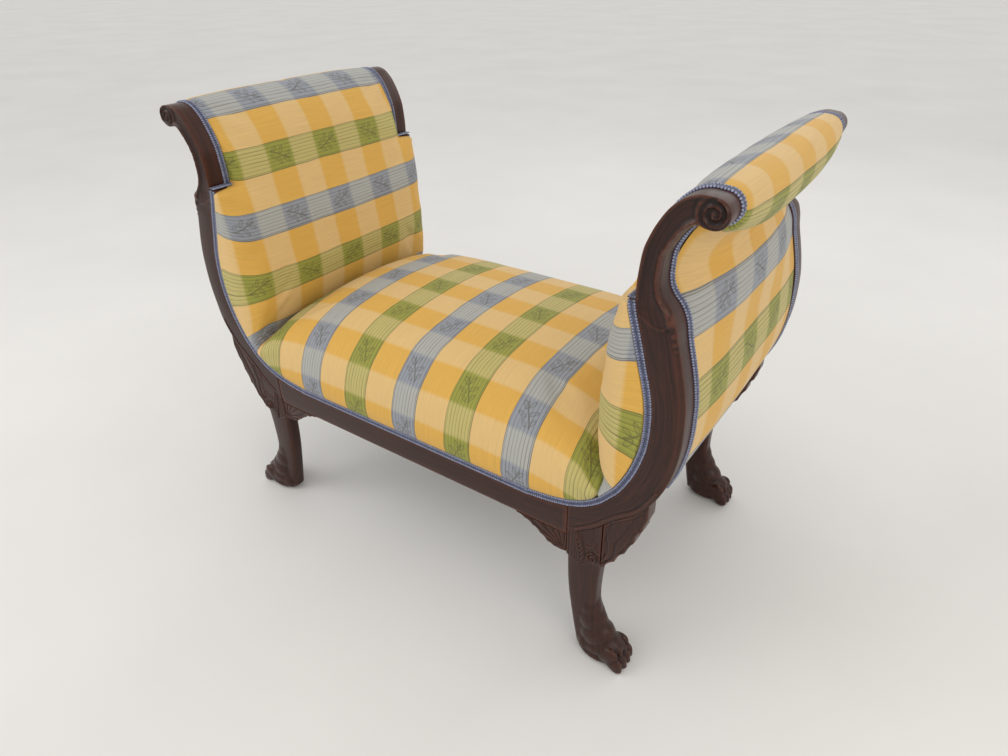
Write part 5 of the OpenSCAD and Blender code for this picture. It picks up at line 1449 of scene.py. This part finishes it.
# Stage: the camera's focal length in pixels of the photograph, its angles and its place, and the lights
PHOTO_W, SENSOR = 1008.0, 36.0
VIEW_F, VIEW_YAW, VIEW_PITCH, VIEW_ROLL = 690.82, -0.621, 0.556, -0.019
VIEW_FROM = Vector((0.84068, -1.11768, 1.20498))
WORLD_LEVEL = 0.80
# Name, place, size, power and tint of each lamp
LAMPS = [
    ("window_lamp", (-2.2, -2.4, 2.9), (2.2, 2.0), 34.0, "#FFFFFF"),
    ("fill_lamp", (2.8, -1.6, 2.2), (2.0, 2.0), 18.0, "#FFF9F0"),
    ("back_lamp", (0.6, 3.0, 2.6), (3.0, 1.6), 14.0, "#FFFFFF"),
]
LIT_POINT = Vector((0.0, 0.0, 0.45))
FLOOR_TINTS = ("#E4E2DE", "#EAE8E4")
FLOOR_RADII = [1.0, 2.0, 4.0, 8.0, 16.0, 32.0, 64.0]
FLOOR_SIDES = 48


def build_stage():
    """A pale floor, soft lamps and the camera of the photograph."""
    floor_material, t = material("painted_plaster_floor")
    place = node(t, "TexCoord", out=3)
    patch = node(t, "TexNoise", {"Vector": place, "Scale": 1.3, "Detail": 4.0})
    body = node(t, "ValToRGB", (patch,), stops=[(0.3, linear(FLOOR_TINTS[0])), (0.7, linear(FLOOR_TINTS[1]))])
    surface = node(t, "BsdfPrincipled", {"Base Color": body, "Roughness": 0.75})
    node(t, "OutputMaterial", {"Surface": surface})
    # A round floor that runs out past the edge of view, in rings
    n = FLOOR_SIDES
    points = [(0.0, 0.0, 0.0)] + [(r * math.cos(a), r * math.sin(a), 0.0) for r in FLOOR_RADII
                                  for a in np.linspace(0, math.tau, n, endpoint=False)]
    faces = [(0, 1 + j, 1 + (j + 1) % n) for j in range(n)]
    for i in range(len(FLOOR_RADII) - 1):
        a, b = 1 + i * n, 1 + (i + 1) * n
        faces += [(a + j, b + j, b + (j + 1) % n, a + (j + 1) % n) for j in range(n)]
    mesh = bpy.data.meshes.new("floor")
    mesh.from_pydata(points, [], faces)
    mesh.materials.append(floor_material)
    floor = bpy.data.objects.new("floor", mesh)
    bpy.context.scene.collection.objects.link(floor)

    world = bpy.data.worlds.new("pale_room")
    world.use_nodes = True
    world.node_tree.nodes.clear()
    t = world.node_tree
    light = node(t, "Background", {"Color": linear("#FFFFFF"), "Strength": WORLD_LEVEL})
    backdrop = node(t, "Background", {"Color": linear(FLOOR_TINTS[1]), "Strength": 1.0})
    seen, *others = (node(t, "LightPath", out=k) for k in ("Is Camera Ray", "Is Glossy Ray", "Is Transmission Ray"))
    for ray in others:
        seen = node(t, "Math", (seen, ray), operation="MAXIMUM")
    ground = node(t, "MixShader", {0: seen, 1: light, 2: backdrop})
    node(t, "OutputWorld", {"Surface": ground})
    bpy.context.scene.world = world

    for name, place, size, power, tint in LAMPS:
        lamp = bpy.data.lights.new(name, "AREA")
        lamp.shape, lamp.size, lamp.size_y = "RECTANGLE", *size
        lamp.energy = power
        lamp.color = linear(tint)[:3]
        made = bpy.data.objects.new(name, lamp)
        made.location = place
        made.rotation_euler = (LIT_POINT - Vector(place)).to_track_quat("-Z", "Y").to_euler()
        bpy.context.scene.collection.objects.link(made)

    camera = bpy.data.cameras.new("camera")
    camera.sensor_fit, camera.sensor_width = "HORIZONTAL", SENSOR
    camera.lens = VIEW_F * SENSOR / PHOTO_W
    camera.clip_end = 200.0
    eye = bpy.data.objects.new("camera", camera)
    level = math.cos(VIEW_PITCH)
    look = Vector((level * math.sin(VIEW_YAW), level * math.cos(VIEW_YAW), -math.sin(VIEW_PITCH)))
    right = look.cross(Vector((0.0, 0.0, 1.0))).normalized()
    up = right.cross(look)
    c, s = math.cos(VIEW_ROLL), math.sin(VIEW_ROLL)
    axes = (right * c + up * s, up * c - right * s, -look)
    eye.matrix_world = Matrix.Translation(VIEW_FROM) @ Matrix(axes).transposed().to_4x4()
    bpy.context.scene.collection.objects.link(eye)
    bpy.context.scene.camera = eye
    bpy.context.scene.view_settings.view_transform = "Standard"


# Operators
class RECAMIER_OT_stage(bpy.types.Operator):
    """Makes the floor, the lamps and the camera"""
    bl_idname = "recamier.stage"
    bl_label = "Stage"

    def execute(self, context):
        build_stage()
        return {"FINISHED"}


class RECAMIER_OT_stiles(bpy.types.Operator):
    """Carves the four scrolled stiles"""
    bl_idname = "recamier.stiles"
    bl_label = "Scrolled Stiles"

    def execute(self, context):
        build_stiles()
        return {"FINISHED"}


class RECAMIER_OT_rails(bpy.types.Operator):
    """Makes the front and back seat rails"""
    bl_idname = "recamier.rails"
    bl_label = "Seat Rails"

    def execute(self, context):
        build_rails()
        return {"FINISHED"}


class RECAMIER_OT_legs(bpy.types.Operator):
    """Carves the four legs with their paws"""
    bl_idname = "recamier.legs"
    bl_label = "Paw Legs"

    def execute(self, context):
        build_legs()
        return {"FINISHED"}


class RECAMIER_OT_brackets(bpy.types.Operator):
    """Carves the ears under the rails and the leaves beside the legs"""
    bl_idname = "recamier.brackets"
    bl_label = "Ears and Leaves"

    def execute(self, context):
        build_brackets()
        return {"FINISHED"}


class RECAMIER_OT_seat(bpy.types.Operator):
    """Upholsters the seat"""
    bl_idname = "recamier.seat"
    bl_label = "Seat Pad"

    def execute(self, context):
        build_seat()
        return {"FINISHED"}


class RECAMIER_OT_arms(bpy.types.Operator):
    """Upholsters both arms, over their rolls and down their outer panels"""
    bl_idname = "recamier.arms"
    bl_label = "Arm Pads"

    def execute(self, context):
        build_arms()
        return {"FINISHED"}


class RECAMIER_OT_braid(bpy.types.Operator):
    """Lays the braid over every edge of the cloth"""
    bl_idname = "recamier.braid"
    bl_label = "Braid"

    def execute(self, context):
        build_braid()
        return {"FINISHED"}


class RECAMIER_OT_backing(bpy.types.Operator):
    """Makes the dust cloth, the straps and the burlap inside and under the bench"""
    bl_idname = "recamier.backing"
    bl_label = "Straps and Backing Cloths"

    def execute(self, context):
        build_backing()
        return {"FINISHED"}


class RECAMIER_OT_frame(bpy.types.Operator):
    """Finishes the inner frame, its screws and the springs"""
    bl_idname = "recamier.frame"
    bl_label = "Inner Frame"

    def execute(self, context):
        finish_frame()
        return {"FINISHED"}


class RECAMIER_PT_panel(bpy.types.Panel):
    """Sizes, colours and pieces of the bench"""
    bl_idname = "RECAMIER_PT_panel"
    bl_label = "Recamier"
    bl_space_type = "VIEW_3D"
    bl_region_type = "UI"
    bl_category = "Recamier"

    def draw(self, context):
        for values in (context.scene.recamier_sizes, context.scene.recamier_colours):
            box = self.layout.box()
            for key in values.__annotations__:
                box.prop(values, key)
        for step in STEPS:
            self.layout.operator(step.bl_idname)


STEPS = (RECAMIER_OT_stage, RECAMIER_OT_stiles, RECAMIER_OT_rails, RECAMIER_OT_legs, RECAMIER_OT_brackets,
         RECAMIER_OT_seat, RECAMIER_OT_arms, RECAMIER_OT_braid, RECAMIER_OT_backing, RECAMIER_OT_frame)
CLASSES = (RecamierSizes, RecamierColours) + STEPS + (RECAMIER_PT_panel,)


def register():
    """Adds the classes and their values to the scene."""
    for cls in CLASSES:
        bpy.utils.register_class(cls)
    bpy.types.Scene.recamier_sizes = PointerProperty(type=RecamierSizes)
    bpy.types.Scene.recamier_colours = PointerProperty(type=RecamierColours)


def unregister():
    """Takes the classes and their values away again."""
    del bpy.types.Scene.recamier_colours
    del bpy.types.Scene.recamier_sizes
    for cls in reversed(CLASSES):
        bpy.utils.unregister_class(cls)


def main():
    """Builds the stage and every piece."""
    register()
    recamier = bpy.ops.recamier
    recamier.stage()
    recamier.stiles()
    recamier.rails()
    recamier.legs()
    recamier.brackets()
    recamier.seat()
    recamier.arms()
    recamier.braid()
    recamier.backing()
    recamier.frame()


if __name__ == "__main__":
    main()
